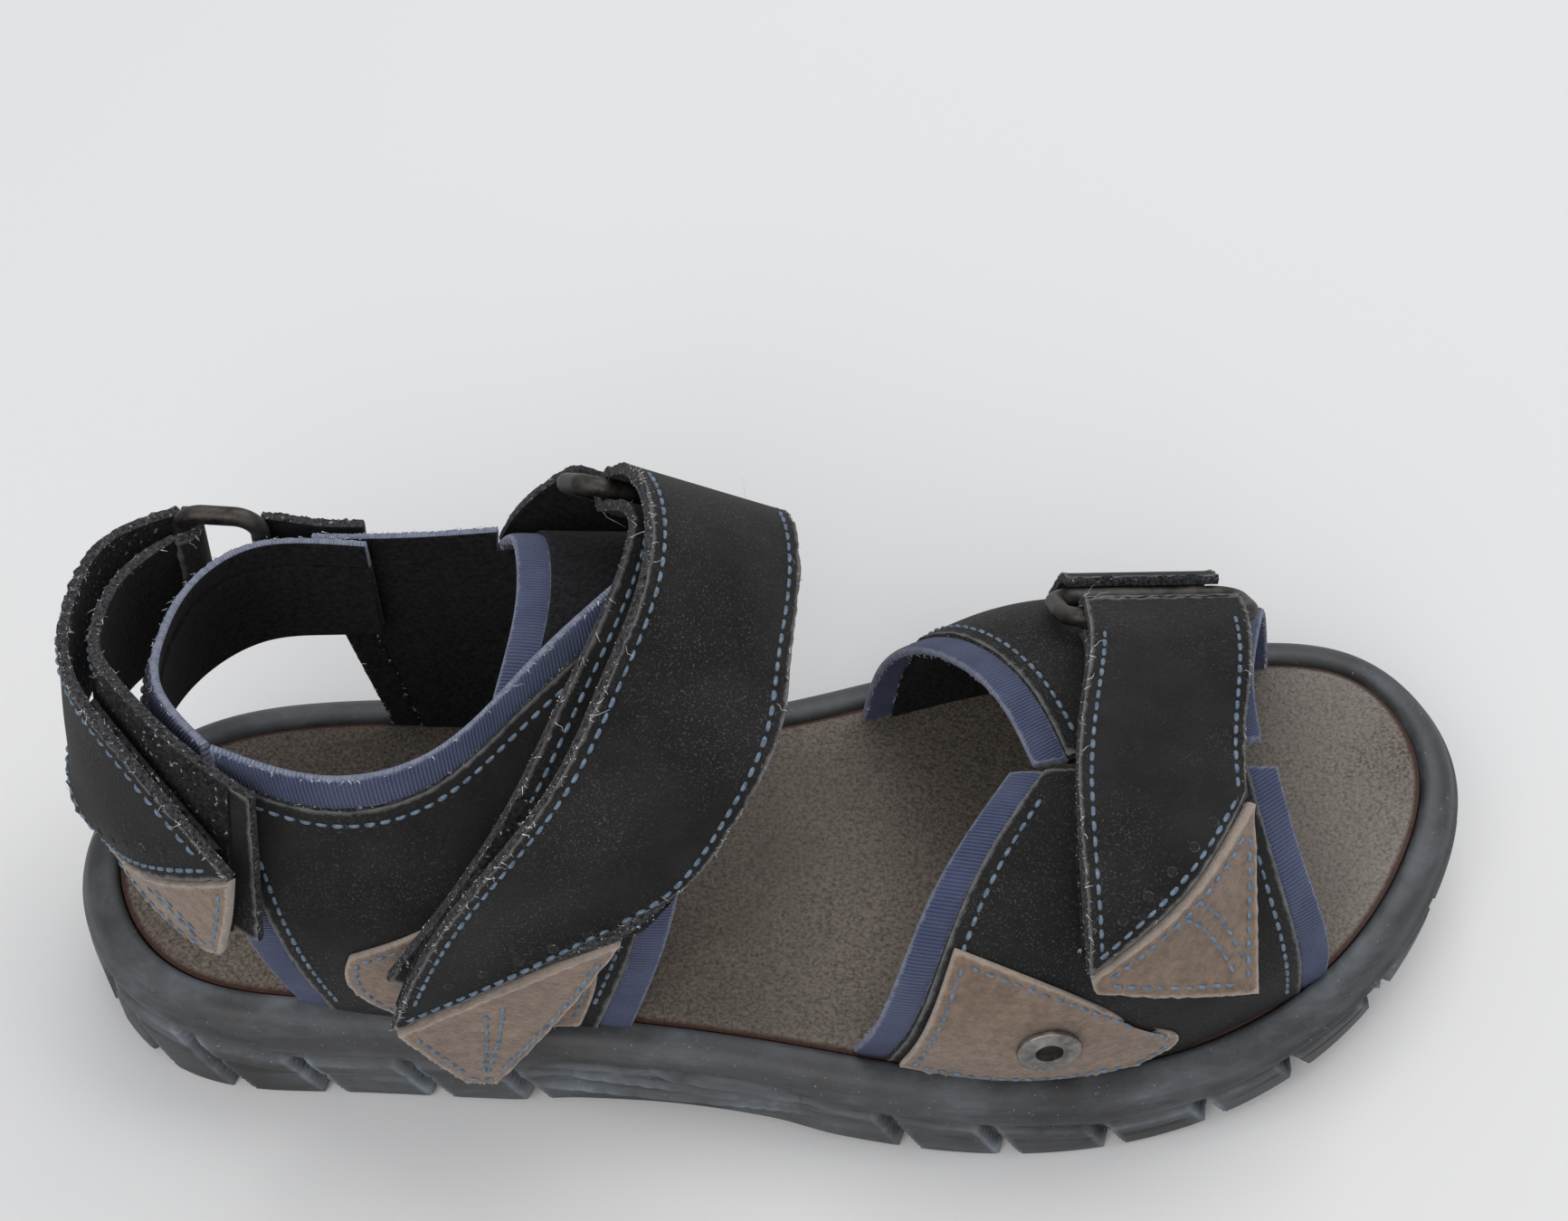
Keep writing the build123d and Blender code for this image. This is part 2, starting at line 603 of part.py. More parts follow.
# ---- forefoot strap ----
forefoot_across = Vector(1, 0, -0.06)
forefoot_ring_plane = ring_plane(at(184.5, 18, 70.5), forefoot_across, Vector(0, -0.82, 0.57))
forefoot_base_centre = spots((176, -27, 73.6), (177.5, -18, 74.6), (180, -7, 74.5), (183, 5, 73.2)) + [
    by_bar(forefoot_ring_plane, -wrap_middle, 1)]
forefoot_base = strap_rails(forefoot_base_centre, [forefoot_across] * 5, forefoot_strap_width)[::-1]
forefoot_base_face = sheet_face(forefoot_base, 0)
forefoot_loop = region(outer_vamp, [[(0.36, 0.5), (0.55, 0.5), (0.74, 0.5)], [(0.37, 0.62), (0.55, 0.62), (0.73, 0.62)],
                                    [(0.38, 0.74), (0.55, 0.74), (0.72, 0.74)]])
forefoot_loop_face = sheet_face(forefoot_loop, ply_gap / 2 + nubuck + patch_gap + pad_thickness / 2)
with BuildPart() as forefoot_base_strap:
    thicken(forefoot_base_face, amount=strap_thickness / 2, both=True)
with BuildPart() as forefoot_loop_pad:
    thicken(forefoot_loop_face, amount=pad_thickness / 2, both=True)

forefoot_flap_centre = [by_bar(forefoot_ring_plane, wrap_middle, 1)] + spots(
    (183, 4, 79.2), (179, -11, 80.8), (175.5, -26, 80.5), (173.5, -41, 77.5), (173.5, -52.5, 69.5))
forefoot_flap_across = [forefoot_across] * 2 + [Vector(1, 0, -0.12)] * 2 + [Vector(1, 0, -0.2)] * 2
forefoot_seam_left = at(158.5, -58.5, 59)
forefoot_seam_middle = at(175.3, -53.8, 67.4)
forefoot_seam_right = at(191, -33, 78)
forefoot_flap_left, forefoot_flap_right = strap_rails(forefoot_flap_centre, forefoot_flap_across, forefoot_strap_width)
forefoot_flap_rails = (forefoot_flap_left + [forefoot_seam_left], forefoot_flap_centre[:-1] + [forefoot_seam_middle],
                       forefoot_flap_right[:-2] + [forefoot_seam_right])
forefoot_flap_face = sheet_face(forefoot_flap_rails, 0, count=15)
forefoot_hook_face = sheet_face(forefoot_flap_rails, -pad_lift, first=0.6, last=0.95)
with BuildPart() as forefoot_flap:
    thicken(forefoot_flap_face, amount=strap_thickness / 2, both=True)
with BuildPart() as forefoot_hook_pad:
    thicken(forefoot_hook_face, amount=pad_thickness / 2, both=True)

forefoot_tip_rails = (spots((159.2, -59, 58), (175.8, -54.5, 66.5), (191.7, -34.2, 77)),
                      spots((160, -60, 55), (176.5, -59.5, 50.5), (193, -57.5, 46)))
forefoot_tip_face = sheet_face(forefoot_tip_rails[::-1], 0)
with BuildPart() as forefoot_flap_tip:
    thicken(forefoot_tip_face, amount=strap_thickness / 2, both=True)
with BuildPart() as forefoot_ring:
    add(ring_blank(forefoot_ring_plane, forefoot_strap_width))
with BuildPart() as forefoot_fold:
    add(fold_blank(forefoot_ring_plane, forefoot_strap_width))
forefoot_tab = tab_rails(forefoot_ring_plane, forefoot_strap_width, spots((184.5, 42, 53.5), (184.5, 47.5, 42)))
forefoot_tab_face = sheet_face(forefoot_tab, 0)
with BuildPart() as forefoot_ring_tab:
    thicken(forefoot_tab_face, amount=tab_thickness / 2, both=True)

# ---- heel strap ----
heel_across = Vector(0.06, -0.08, 1)
heel_ring_plane = ring_plane(at(-16.5, 44.2, 71), heel_across, Vector(-1, 0.1, 0))
heel_base_centre = [by_bar(heel_ring_plane, -wrap_middle, 1)] + spots(
    (-25, 31.5, 73), (-29.5, 18.5, 77), (-29.5, 5, 80), (-25, -7, 83), (-17.5, -17.5, 84.5), (-8, -29, 84),
    (4, -37.5, 80))
heel_base_across = [heel_across] * 2 + [Vector(0.14, -0.08, 1), Vector(0.16, 0, 1)] + [Vector(0.14, 0.16, 1)] * 2 + [
    Vector(0.1, 0.3, 1)] * 2
heel_base = strap_rails(heel_base_centre, heel_base_across, heel_strap_width)
heel_base_face = sheet_face(heel_base, 0, count=17)
heel_loop_face = sheet_face(heel_base, pad_lift, first=0.55, last=0.95)
with BuildPart() as heel_base_strap:
    thicken(heel_base_face, amount=strap_thickness / 2, both=True)
with BuildPart() as heel_loop_pad:
    thicken(heel_loop_face, amount=pad_thickness / 2, both=True)

heel_flap_centre = [by_bar(heel_ring_plane, wrap_middle, 1)] + spots(
    (-29.5, 37, 75.5), (-35.2, 20.5, 79), (-35.3, 5, 81), (-31, -9.5, 82.5), (-23, -22, 83))
heel_flap_across = [heel_across] * 2 + [Vector(0.14, -0.08, 1), Vector(0.16, 0, 1)] + [Vector(0.14, 0.16, 1)] * 2
heel_seam_low = at(-28.5, -16.5, 63)
heel_seam_middle = at(-16.5, -33, 74.5)
heel_seam_high = at(1, -43.5, 87)
heel_flap_low, heel_flap_high = strap_rails(heel_flap_centre, heel_flap_across, heel_strap_width)
heel_flap_rails = (heel_flap_low[:-1] + [heel_seam_low], heel_flap_centre[:-1] + [heel_seam_middle],
                   heel_flap_high + [heel_seam_high])
heel_flap_face = sheet_face(heel_flap_rails, 0, count=17)
heel_hook_face = sheet_face(heel_flap_rails, -pad_lift, first=0.6, last=0.95)
with BuildPart() as heel_flap:
    thicken(heel_flap_face, amount=strap_thickness / 2, both=True)
with BuildPart() as heel_hook_pad:
    thicken(heel_hook_face, amount=pad_thickness / 2, both=True)

heel_tip_rails = (spots((-28.2, -17.3, 62.2), (-19.5, -30.5, 62.5), (-9.5, -42, 63)),
                  spots((-16.2, -33.7, 73.8), (-11.5, -38.8, 68), (-7.5, -43.2, 63.6)),
                  spots((1, -44.1, 86.4), (-1.3, -45.6, 76), (-4.5, -45.4, 65)))
heel_tip_face = sheet_face(heel_tip_rails, 0)
with BuildPart() as heel_flap_tip:
    thicken(heel_tip_face, amount=strap_thickness / 2, both=True)
with BuildPart() as heel_ring:
    add(ring_blank(heel_ring_plane, heel_strap_width))
with BuildPart() as heel_fold:
    add(fold_blank(heel_ring_plane, heel_strap_width))
heel_tab = tab_rails(heel_ring_plane, heel_strap_width, spots((9, 45.2, 68.5), (20, 45, 67)))
heel_tab_face = sheet_face(heel_tab, 0)
with BuildPart() as heel_ring_tab:
    thicken(heel_tab_face, amount=tab_thickness / 2, both=True)


# ======================= files =======================
PIECES = {
    "outsole": outsole, "midsole": midsole, "shank": shank, "insole_board": insole_board,
    "footbed_foam": footbed_foam, "footbed_cover": footbed_cover,
    "lateral_quarter": lateral_quarter, "lateral_quarter_lining": lateral_quarter_lining,
    "lateral_collar_binding": lateral_collar_binding, "lateral_rear_binding": lateral_rear_binding,
    "lateral_front_binding": lateral_front_binding, "lateral_suede_patch": lateral_suede_patch,
    "heel_band": heel_band, "heel_band_lining": heel_band_lining, "heel_collar_binding": heel_collar_binding,
    "medial_quarter": medial_quarter, "medial_quarter_lining": medial_quarter_lining,
    "medial_collar_binding": medial_collar_binding, "medial_front_binding": medial_front_binding,
    "medial_rear_binding": medial_rear_binding, "throat_panel": throat_panel,
    "throat_panel_lining": throat_panel_lining, "throat_binding": throat_binding,
    "lateral_vamp": lateral_vamp, "lateral_vamp_lining": lateral_vamp_lining,
    "lateral_vamp_rear_binding": lateral_vamp_rear_binding,
    "lateral_vamp_front_binding": lateral_vamp_front_binding,
    "medial_vamp": medial_vamp, "medial_vamp_lining": medial_vamp_lining,
    "medial_vamp_rear_binding": medial_vamp_rear_binding,
    "medial_vamp_front_binding": medial_vamp_front_binding,
    "eyelet_patch": eyelet_patch, "eyelet": eyelet, "eyelet_washer": eyelet_washer,
    "instep_base_strap": instep_base_strap, "instep_loop_pad": instep_loop_pad, "instep_flap": instep_flap,
    "instep_hook_pad": instep_hook_pad, "instep_flap_tip": instep_flap_tip, "instep_ring": instep_ring,
    "instep_fold": instep_fold, "instep_ring_tab": instep_ring_tab,
    "forefoot_base_strap": forefoot_base_strap, "forefoot_loop_pad": forefoot_loop_pad,
    "forefoot_flap": forefoot_flap, "forefoot_hook_pad": forefoot_hook_pad,
    "forefoot_flap_tip": forefoot_flap_tip, "forefoot_ring": forefoot_ring, "forefoot_fold": forefoot_fold,
    "forefoot_ring_tab": forefoot_ring_tab,
    "heel_base_strap": heel_base_strap, "heel_loop_pad": heel_loop_pad, "heel_flap": heel_flap,
    "heel_hook_pad": heel_hook_pad, "heel_flap_tip": heel_flap_tip, "heel_ring": heel_ring,
    "heel_fold": heel_fold, "heel_ring_tab": heel_ring_tab}

for name, piece in PIECES.items():
    piece.part.label = name
    export_step(piece.part, f"parts/{name}.step")
for strap, plane in (("heel", heel_ring_plane), ("instep", instep_ring_plane), ("forefoot", forefoot_ring_plane)):
    tab_bar = by_bar(plane, 0, -ring_pitch)
    print(strap, "strap bar", plane.origin, "tab bar", tab_bar, "along", plane.x_dir)
print("eyelet", eyelet_plane.origin, eyelet_plane.z_dir)
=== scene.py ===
import bpy
import random
from math import sin, cos, pi, radians
import numpy as np
from mathutils import Matrix, Vector


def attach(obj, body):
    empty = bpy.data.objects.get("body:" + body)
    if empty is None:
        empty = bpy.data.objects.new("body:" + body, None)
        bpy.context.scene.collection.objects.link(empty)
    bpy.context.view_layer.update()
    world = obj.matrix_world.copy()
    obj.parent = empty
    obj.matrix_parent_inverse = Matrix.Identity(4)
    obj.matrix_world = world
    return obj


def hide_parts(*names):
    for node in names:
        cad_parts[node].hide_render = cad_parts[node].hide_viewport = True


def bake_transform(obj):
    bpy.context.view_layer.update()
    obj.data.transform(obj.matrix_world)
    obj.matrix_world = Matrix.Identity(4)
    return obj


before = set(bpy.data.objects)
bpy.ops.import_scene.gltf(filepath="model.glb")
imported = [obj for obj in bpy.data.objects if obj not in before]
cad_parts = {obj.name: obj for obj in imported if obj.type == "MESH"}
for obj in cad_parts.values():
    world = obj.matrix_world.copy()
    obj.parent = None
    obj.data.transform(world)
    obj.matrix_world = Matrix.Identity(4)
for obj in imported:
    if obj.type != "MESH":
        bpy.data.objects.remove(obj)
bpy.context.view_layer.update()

# Right-foot strappy sport sandal. Points are written in millimetres, x to the toe, y to the inner side.
mm = 0.001
random.seed(7)


# materials
def newMaterial(name):
    mat = bpy.data.materials.new(name)
    mat.use_nodes = True
    tree = mat.node_tree
    return mat, tree, tree.nodes["Principled BSDF"]


def node(tree, kind, inputs=None, **settings):
    made = tree.nodes.new(kind)
    for key, value in settings.items():
        setattr(made, key, value)
    for key, value in (inputs or {}).items():
        if isinstance(value, bpy.types.NodeSocket):
            tree.links.new(value, made.inputs[key])
        else:
            made.inputs[key].default_value = value
    return made


def objectSpace(tree):
    return node(tree, "ShaderNodeTexCoord").outputs["Object"]


def flatSpace(tree, stretch=(1, 1, 1)):
    # the piece's own cut: x along it and y across it, in centimetres
    uv = node(tree, "ShaderNodeTexCoord").outputs["UV"]
    return node(tree, "ShaderNodeMapping", {"Vector": uv, "Scale": stretch}).outputs["Vector"]


def noise(tree, space, scale, detail=4.0, rough=0.6):
    return node(tree, "ShaderNodeTexNoise",
                {"Vector": space, "Scale": scale, "Detail": detail, "Roughness": rough}).outputs["Fac"]


def ramp(tree, value, low, high, outLow=0.0, outHigh=1.0):
    return node(tree, "ShaderNodeMapRange", {"Value": value, "From Min": low, "From Max": high,
                                             "To Min": outLow, "To Max": outHigh}).outputs["Result"]


def mixColour(tree, factor, first, second):
    mixer = node(tree, "ShaderNodeMix", data_type="RGBA")
    for key, value in ((0, factor), (6, first), (7, second)):
        if isinstance(value, bpy.types.NodeSocket):
            tree.links.new(value, mixer.inputs[key])
        else:
            mixer.inputs[key].default_value = (*value, 1) if isinstance(value, tuple) else value
    return mixer.outputs[2]


def maths(tree, operation, first, second=0.0):
    result = node(tree, "ShaderNodeMath", operation=operation)
    for i, value in enumerate((first, second)):
        if isinstance(value, bpy.types.NodeSocket):
            tree.links.new(value, result.inputs[i])
        else:
            result.inputs[i].default_value = value
    return result.outputs[0]


def bump(tree, height, distance, strength=1.0):
    made = node(tree, "ShaderNodeBump", {"Height": height, "Distance": distance, "Strength": strength})
    return made.outputs["Normal"]


def edgeAway(tree):
    # millimetres from the cut edge of the piece
    return node(tree, "ShaderNodeAttribute", attribute_name="edgeAway").outputs["Fac"]


nubuckLook = {"deep": (0.0065, 0.0066, 0.0068), "worn": (0.019, 0.0188, 0.0185), "dust": (0.13, 0.128, 0.122),
              "edge": (0.16, 0.16, 0.16)}


def makeNubuck(name, look):
    mat, tree, shader = newMaterial(name)
    space = objectSpace(tree)
    cloud = ramp(tree, noise(tree, space, 55), 0.35, 0.7)
    base = mixColour(tree, cloud, look["deep"], look["worn"])
    grain = noise(tree, space, 1500, 2)
    specks = ramp(tree, noise(tree, space, 2300, 2, 0.6), 0.56, 0.72)
    patchy = ramp(tree, noise(tree, space, 30), 0.4, 0.72, 0.08, 0.75)
    dusty = maths(tree, "MULTIPLY", specks, patchy)
    base = mixColour(tree, dusty, base, look["dust"])
    away = maths(tree, "ADD", edgeAway(tree), ramp(tree, noise(tree, space, 420), 0, 1, -0.9, 0.9))
    base = mixColour(tree, ramp(tree, away, 0.1, 1.0, 0.75, 0.0), base, look["edge"])
    tree.links.new(base, shader.inputs["Base Color"])
    tree.links.new(bump(tree, grain, 0.00025, 0.6), shader.inputs["Normal"])
    tree.links.new(ramp(tree, cloud, 0, 1, 0.82, 0.97), shader.inputs["Roughness"])
    shader.inputs["Specular IOR Level"].default_value = 0.18
    shader.inputs["Sheen Weight"].default_value = 0.05
    shader.inputs["Sheen Roughness"].default_value = 0.5
    return mat


suedeLook = {"deep": (0.1, 0.068, 0.048), "light": (0.25, 0.172, 0.122), "rough": 0.95}


def makeSuede(name, look):
    mat, tree, shader = newMaterial(name)
    space = objectSpace(tree)
    nap = noise(tree, space, 420, 5, 0.75)
    cloud = noise(tree, space, 70)
    base = mixColour(tree, ramp(tree, nap, 0.3, 0.7), look["deep"], look["light"])
    base = mixColour(tree, ramp(tree, cloud, 0.35, 0.75, 0, 0.45), base, look["deep"])
    away = maths(tree, "ADD", edgeAway(tree), ramp(tree, noise(tree, space, 500), 0, 1, -0.8, 0.8))
    base = mixColour(tree, ramp(tree, away, 0.0, 0.9, 0.6, 0.0), base, (0.42, 0.36, 0.31))
    tree.links.new(base, shader.inputs["Base Color"])
    tree.links.new(bump(tree, nap, 0.0008, 1.0), shader.inputs["Normal"])
    shader.inputs["Roughness"].default_value = look["rough"]
    shader.inputs["Sheen Weight"].default_value = 0.25
    return mat


elasticLook = {"valley": (0.015, 0.023, 0.06), "rib": (0.065, 0.088, 0.195), "faded": (0.11, 0.135, 0.235),
               "ribsPerCm": 13.0}


def makeElastic(name, look):
    mat, tree, shader = newMaterial(name)
    space = objectSpace(tree)
    flat = flatSpace(tree)
    ribs = node(tree, "ShaderNodeTexWave", {"Vector": flat, "Scale": look["ribsPerCm"] / 2 * 0.62, "Distortion": 0.35,
                                            "Detail": 1.0, "Detail Scale": 3.0},
                bands_direction="X").outputs["Fac"]
    threads = node(tree, "ShaderNodeTexWave", {"Vector": flat, "Scale": 8.0, "Distortion": 0.6},
                   bands_direction="Y").outputs["Fac"]
    weave = maths(tree, "ADD", ribs, maths(tree, "MULTIPLY", threads, 0.35))
    base = mixColour(tree, ramp(tree, weave, 0.1, 1.1), look["valley"], look["rib"])
    base = mixColour(tree, ramp(tree, noise(tree, space, 90), 0.4, 0.8, 0, 0.55), base, look["faded"])
    away = maths(tree, "ADD", edgeAway(tree), ramp(tree, noise(tree, space, 800), 0, 1, -0.7, 0.7))
    base = mixColour(tree, ramp(tree, away, -0.1, 0.55, 0.65, 0.0), base, (0.33, 0.36, 0.45))
    tree.links.new(base, shader.inputs["Base Color"])
    tree.links.new(bump(tree, weave, 0.0004, 1.0), shader.inputs["Normal"])
    shader.inputs["Roughness"].default_value = 0.85
    shader.inputs["Sheen Weight"].default_value = 0.08
    return mat


def makeCloth(name, dark, light, scale, lint=0.0):
    mat, tree, shader = newMaterial(name)
    space = objectSpace(tree)
    pile = noise(tree, space, scale, 3, 0.7)
    base = mixColour(tree, ramp(tree, pile, 0.35, 0.7), dark, light)
    specks = ramp(tree, noise(tree, space, scale * 0.8, 1), 0.66, 0.72, 0.0, lint)
    base = mixColour(tree, specks, base, (0.4, 0.4, 0.41))
    tree.links.new(base, shader.inputs["Base Color"])
    tree.links.new(bump(tree, pile, 0.0006, 0.8), shader.inputs["Normal"])
    shader.inputs["Roughness"].default_value = 0.97
    shader.inputs["Specular IOR Level"].default_value = 0.12
    shader.inputs["Sheen Weight"].default_value = 0.03
    return mat


rubberLook = {"deep": (0.018, 0.018, 0.0185), "grey": (0.05, 0.051, 0.053), "scuffAndHighlight": (0.17, 0.195, 0.22),
              "sand": (0.3, 0.27, 0.22)}


def makeRubber(name, look, dust=1.0):
    mat, tree, shader = newMaterial(name)
    space = objectSpace(tree)
    cloud = noise(tree, space, 28, 5)
    base = mixColour(tree, ramp(tree, cloud, 0.3, 0.7), look["deep"], look["grey"])
    # chalky blue scuffs run along the side; the ridges get the same pale colour as a painted highlight, and dust
    # scales both
    streaky = node(tree, "ShaderNodeMapping", {"Vector": space, "Scale": (26, 26, 130)}).outputs["Vector"]
    scuffs = ramp(tree, noise(tree, streaky, 1.0, 6, 0.72), 0.45, 0.66)
    ridgeHighlight = node(tree, "ShaderNodeAttribute", attribute_name="ridgeHighlight").outputs["Fac"]
    strength = maths(tree, "ADD", maths(tree, "MULTIPLY", scuffs, 0.45 * dust),
                     maths(tree, "MULTIPLY", ridgeHighlight, 0.95 * dust))
    strength = maths(tree, "MULTIPLY", strength, ramp(tree, noise(tree, space, 60, 4), 0.35, 0.65, 0.15, 1.0))
    base = mixColour(tree, strength, base, look["scuffAndHighlight"])
    grit = ramp(tree, noise(tree, space, 1300, 1), 0.73, 0.78, 0, 0.6)
    base = mixColour(tree, grit, base, look["sand"])
    tree.links.new(base, shader.inputs["Base Color"])
    fine = maths(tree, "ADD", noise(tree, space, 700, 3), maths(tree, "MULTIPLY", cloud, 0.4))
    tree.links.new(bump(tree, fine, 0.00018, 0.5), shader.inputs["Normal"])
    tree.links.new(ramp(tree, strength, 0, 0.7, 0.48, 0.82), shader.inputs["Roughness"])
    shader.inputs["Specular IOR Level"].default_value = 0.4
    return mat


footbedLook = {"deep": (0.05, 0.041, 0.033), "mid": (0.18, 0.153, 0.126), "worn": (0.26, 0.24, 0.215),
               "rim": (0.05, 0.018, 0.014)}


def makeFootbed(name, look):
    mat, tree, shader = newMaterial(name)
    space = objectSpace(tree)
    nap = noise(tree, space, 1250, 4, 0.75)
    pits = node(tree, "ShaderNodeTexVoronoi", {"Vector": space, "Scale": 1100}).outputs["Distance"]
    cloud = noise(tree, space, 16, 5)
    base = mixColour(tree, ramp(tree, nap, 0.36, 0.62), look["deep"], look["mid"])
    worn = node(tree, "ShaderNodeAttribute", attribute_name="worn").outputs["Fac"]
    rubbed = maths(tree, "MULTIPLY", worn, ramp(tree, maths(tree, "ADD", cloud, nap), 0.75, 1.2, 0.1, 1.0))
    base = mixColour(tree, rubbed, base, look["worn"])
    base = mixColour(tree, ramp(tree, cloud, 0.5, 0.75, 0, 0.4), base, look["deep"])
    away = maths(tree, "ADD", edgeAway(tree), ramp(tree, cloud, 0, 1, -0.5, 0.5))
    base = mixColour(tree, ramp(tree, away, 0.7, 1.6, 0.85, 0.0), base, look["rim"])
    tree.links.new(base, shader.inputs["Base Color"])
    relief = maths(tree, "ADD", nap, maths(tree, "MULTIPLY", pits, 0.5))
    tree.links.new(bump(tree, relief, 0.0005, 0.8), shader.inputs["Normal"])
    shader.inputs["Roughness"].default_value = 0.93
    shader.inputs["Specular IOR Level"].default_value = 0.25
    return mat


def makePlain(name, dark, light, scale, rough, metal=0.0, depth=0.0001):
    mat, tree, shader = newMaterial(name)
    space = objectSpace(tree)
    wear = noise(tree, space, scale, 5)
    base = mixColour(tree, ramp(tree, wear, 0.35, 0.68), dark, light)
    tree.links.new(base, shader.inputs["Base Color"])
    tree.links.new(bump(tree, noise(tree, space, scale * 6, 3), depth, 0.6), shader.inputs["Normal"])
    tree.links.new(ramp(tree, wear, 0.3, 0.7, rough - 0.12, rough + 0.12), shader.inputs["Roughness"])
    shader.inputs["Metallic"].default_value = metal
    return mat


nubuckMat = makeNubuck("nubuck", nubuckLook)
strapMat = makeNubuck("strapNubuck", nubuckLook)
suedeMat = makeSuede("brownSuede", suedeLook)
elasticMat = makeElastic("ribbedElastic", elasticLook)
liningMat = makeCloth("liningTextile", (0.004, 0.004, 0.005), (0.018, 0.018, 0.02), 900)
pileMat = makeCloth("hookAndLoop", (0.004, 0.004, 0.0045), (0.03, 0.03, 0.031), 1100, 0.6)
rawEdgeMat = makeCloth("rawEdge", (0.008, 0.008, 0.009), (0.075, 0.076, 0.08), 1300, 0.45)
rubberMat = makeRubber("soleRubber", rubberLook)
treadMat = makeRubber("treadRubber", rubberLook, 0.5)
footbedMat = makeFootbed("footbedSuede", footbedLook)
threadMat = makePlain("thread", (0.055, 0.085, 0.125), (0.17, 0.235, 0.31), 900, 0.75)
lintMat = makePlain("lint", (0.3, 0.3, 0.31), (0.75, 0.75, 0.76), 500, 0.9)
wireMat = makePlain("darkWire", (0.02, 0.018, 0.017), (0.085, 0.078, 0.072), 240, 0.5, 0.75)
# near-black, painted shade for the eyelet bore and the punched holes
holeShadeMat = makePlain("holeShade", (0.004, 0.003, 0.003), (0.012, 0.01, 0.008), 400, 0.9)
eyeletMat = makePlain("eyeletMetal", (0.11, 0.105, 0.1), (0.34, 0.32, 0.3), 300, 0.4, 0.85)
steelMat = makePlain("shankSteel", (0.3, 0.3, 0.3), (0.5, 0.5, 0.5), 200, 0.35, 1.0)
boardMat = makePlain("insoleBoard", (0.3, 0.23, 0.15), (0.5, 0.4, 0.28), 300, 0.9)
foamMat = makePlain("footbedFoam", (0.03, 0.03, 0.03), (0.08, 0.08, 0.08), 800, 0.95, 0.0, 0.0004)
print("materials made")


# lines and cut sheets
def spots(*triples):
    return [np.array(triple, float) * mm for triple in triples]


def curve(points, shares):
    # a smooth line through the points, at shares of its length from 0 to 1
    points = np.array(points, float)
    shares = np.atleast_1d(np.array(shares, float))
    if len(points) == 2:
        return points[0] + (points[1] - points[0]) * shares[:, None]
    steps = np.linalg.norm(np.diff(points, axis=0), axis=1)
    t = np.concatenate([[0], np.cumsum(steps)]) / steps.sum()
    h = np.diff(t)
    n = len(points)
    left = np.zeros((n, n))
    right = np.zeros((n, points.shape[1]))
    left[0, 0] = left[-1, -1] = 1
    for i in range(1, n - 1):
        left[i, i - 1:i + 2] = h[i - 1], 2 * (h[i - 1] + h[i]), h[i]
        right[i] = 6 * ((points[i + 1] - points[i]) / h[i] - (points[i] - points[i - 1]) / h[i - 1])
    bend = np.linalg.solve(left, right)
    i = np.clip(np.searchsorted(t, shares, side="right") - 1, 0, n - 2)
    a = ((t[i + 1] - shares) / h[i])[:, None]
    b = ((shares - t[i]) / h[i])[:, None]
    square = (h[i] ** 2)[:, None] / 6
    return a * points[i] + b * points[i + 1] + ((a ** 3 - a) * bend[i] + (b ** 3 - b) * bend[i + 1]) * square


def unit(vectors):
    return vectors / np.maximum(np.linalg.norm(vectors, axis=-1, keepdims=True), 1e-12)


def sheetGrid(rails, lift=0.0, along=60, across=24, first=0.0, last=1.0):
    # a net of points through long rails, lifted along its outward normal, and those normals
    longRails = [curve(points, np.linspace(first, last, along)) for points in rails]
    shares = np.linspace(0, 1, across)
    grid = np.array([curve([points[i] for points in longRails], shares) for i in range(along)])
    normals = unit(np.cross(np.gradient(grid, axis=0), np.gradient(grid, axis=1)))
    return grid + normals * lift * mm, normals


def arcs(grid):
    # lengths along and across the net at every point, in millimetres
    alongSteps = np.linalg.norm(np.diff(grid, axis=0), axis=2)
    acrossSteps = np.linalg.norm(np.diff(grid, axis=1), axis=2)
    u = np.concatenate([np.zeros((1, grid.shape[1])), np.cumsum(alongSteps, axis=0)]) / mm
    v = np.concatenate([np.zeros((grid.shape[0], 1)), np.cumsum(acrossSteps, axis=1)], axis=1) / mm
    return u, v


def addMesh(name, verts, faces, mats, faceMats, uvs=None, values=None, sharp=60):
    mesh = bpy.data.meshes.new(name)
    mesh.from_pydata([tuple(v) for v in verts], [], faces)
    for mat in mats:
        mesh.materials.append(mat)
    mesh.polygons.foreach_set("material_index", faceMats)
    mesh.polygons.foreach_set("use_smooth", [True] * len(faces))
    if uvs is not None:
        layer = mesh.uv_layers.new(name="cut")
        loops = np.zeros(len(mesh.loops), int)
        mesh.loops.foreach_get("vertex_index", loops)
        layer.data.foreach_set("uv", np.array(uvs)[loops].ravel())
    for key, data in (values or {}).items():
        mesh.attributes.new(key, "FLOAT", "POINT").data.foreach_set("value", np.array(data, float))
    mesh.validate()
    mesh.set_sharp_from_angle(angle=radians(sharp))
    piece = bpy.data.objects.new(name, mesh)
    bpy.context.scene.collection.objects.link(piece)
    return piece


def rimLoop(along, across):
    loop = [(i, 0) for i in range(along)] + [(along - 1, j) for j in range(1, across)]
    loop += [(i, across - 1) for i in range(along - 2, -1, -1)] + [(0, j) for j in range(across - 2, 0, -1)]
    return loop


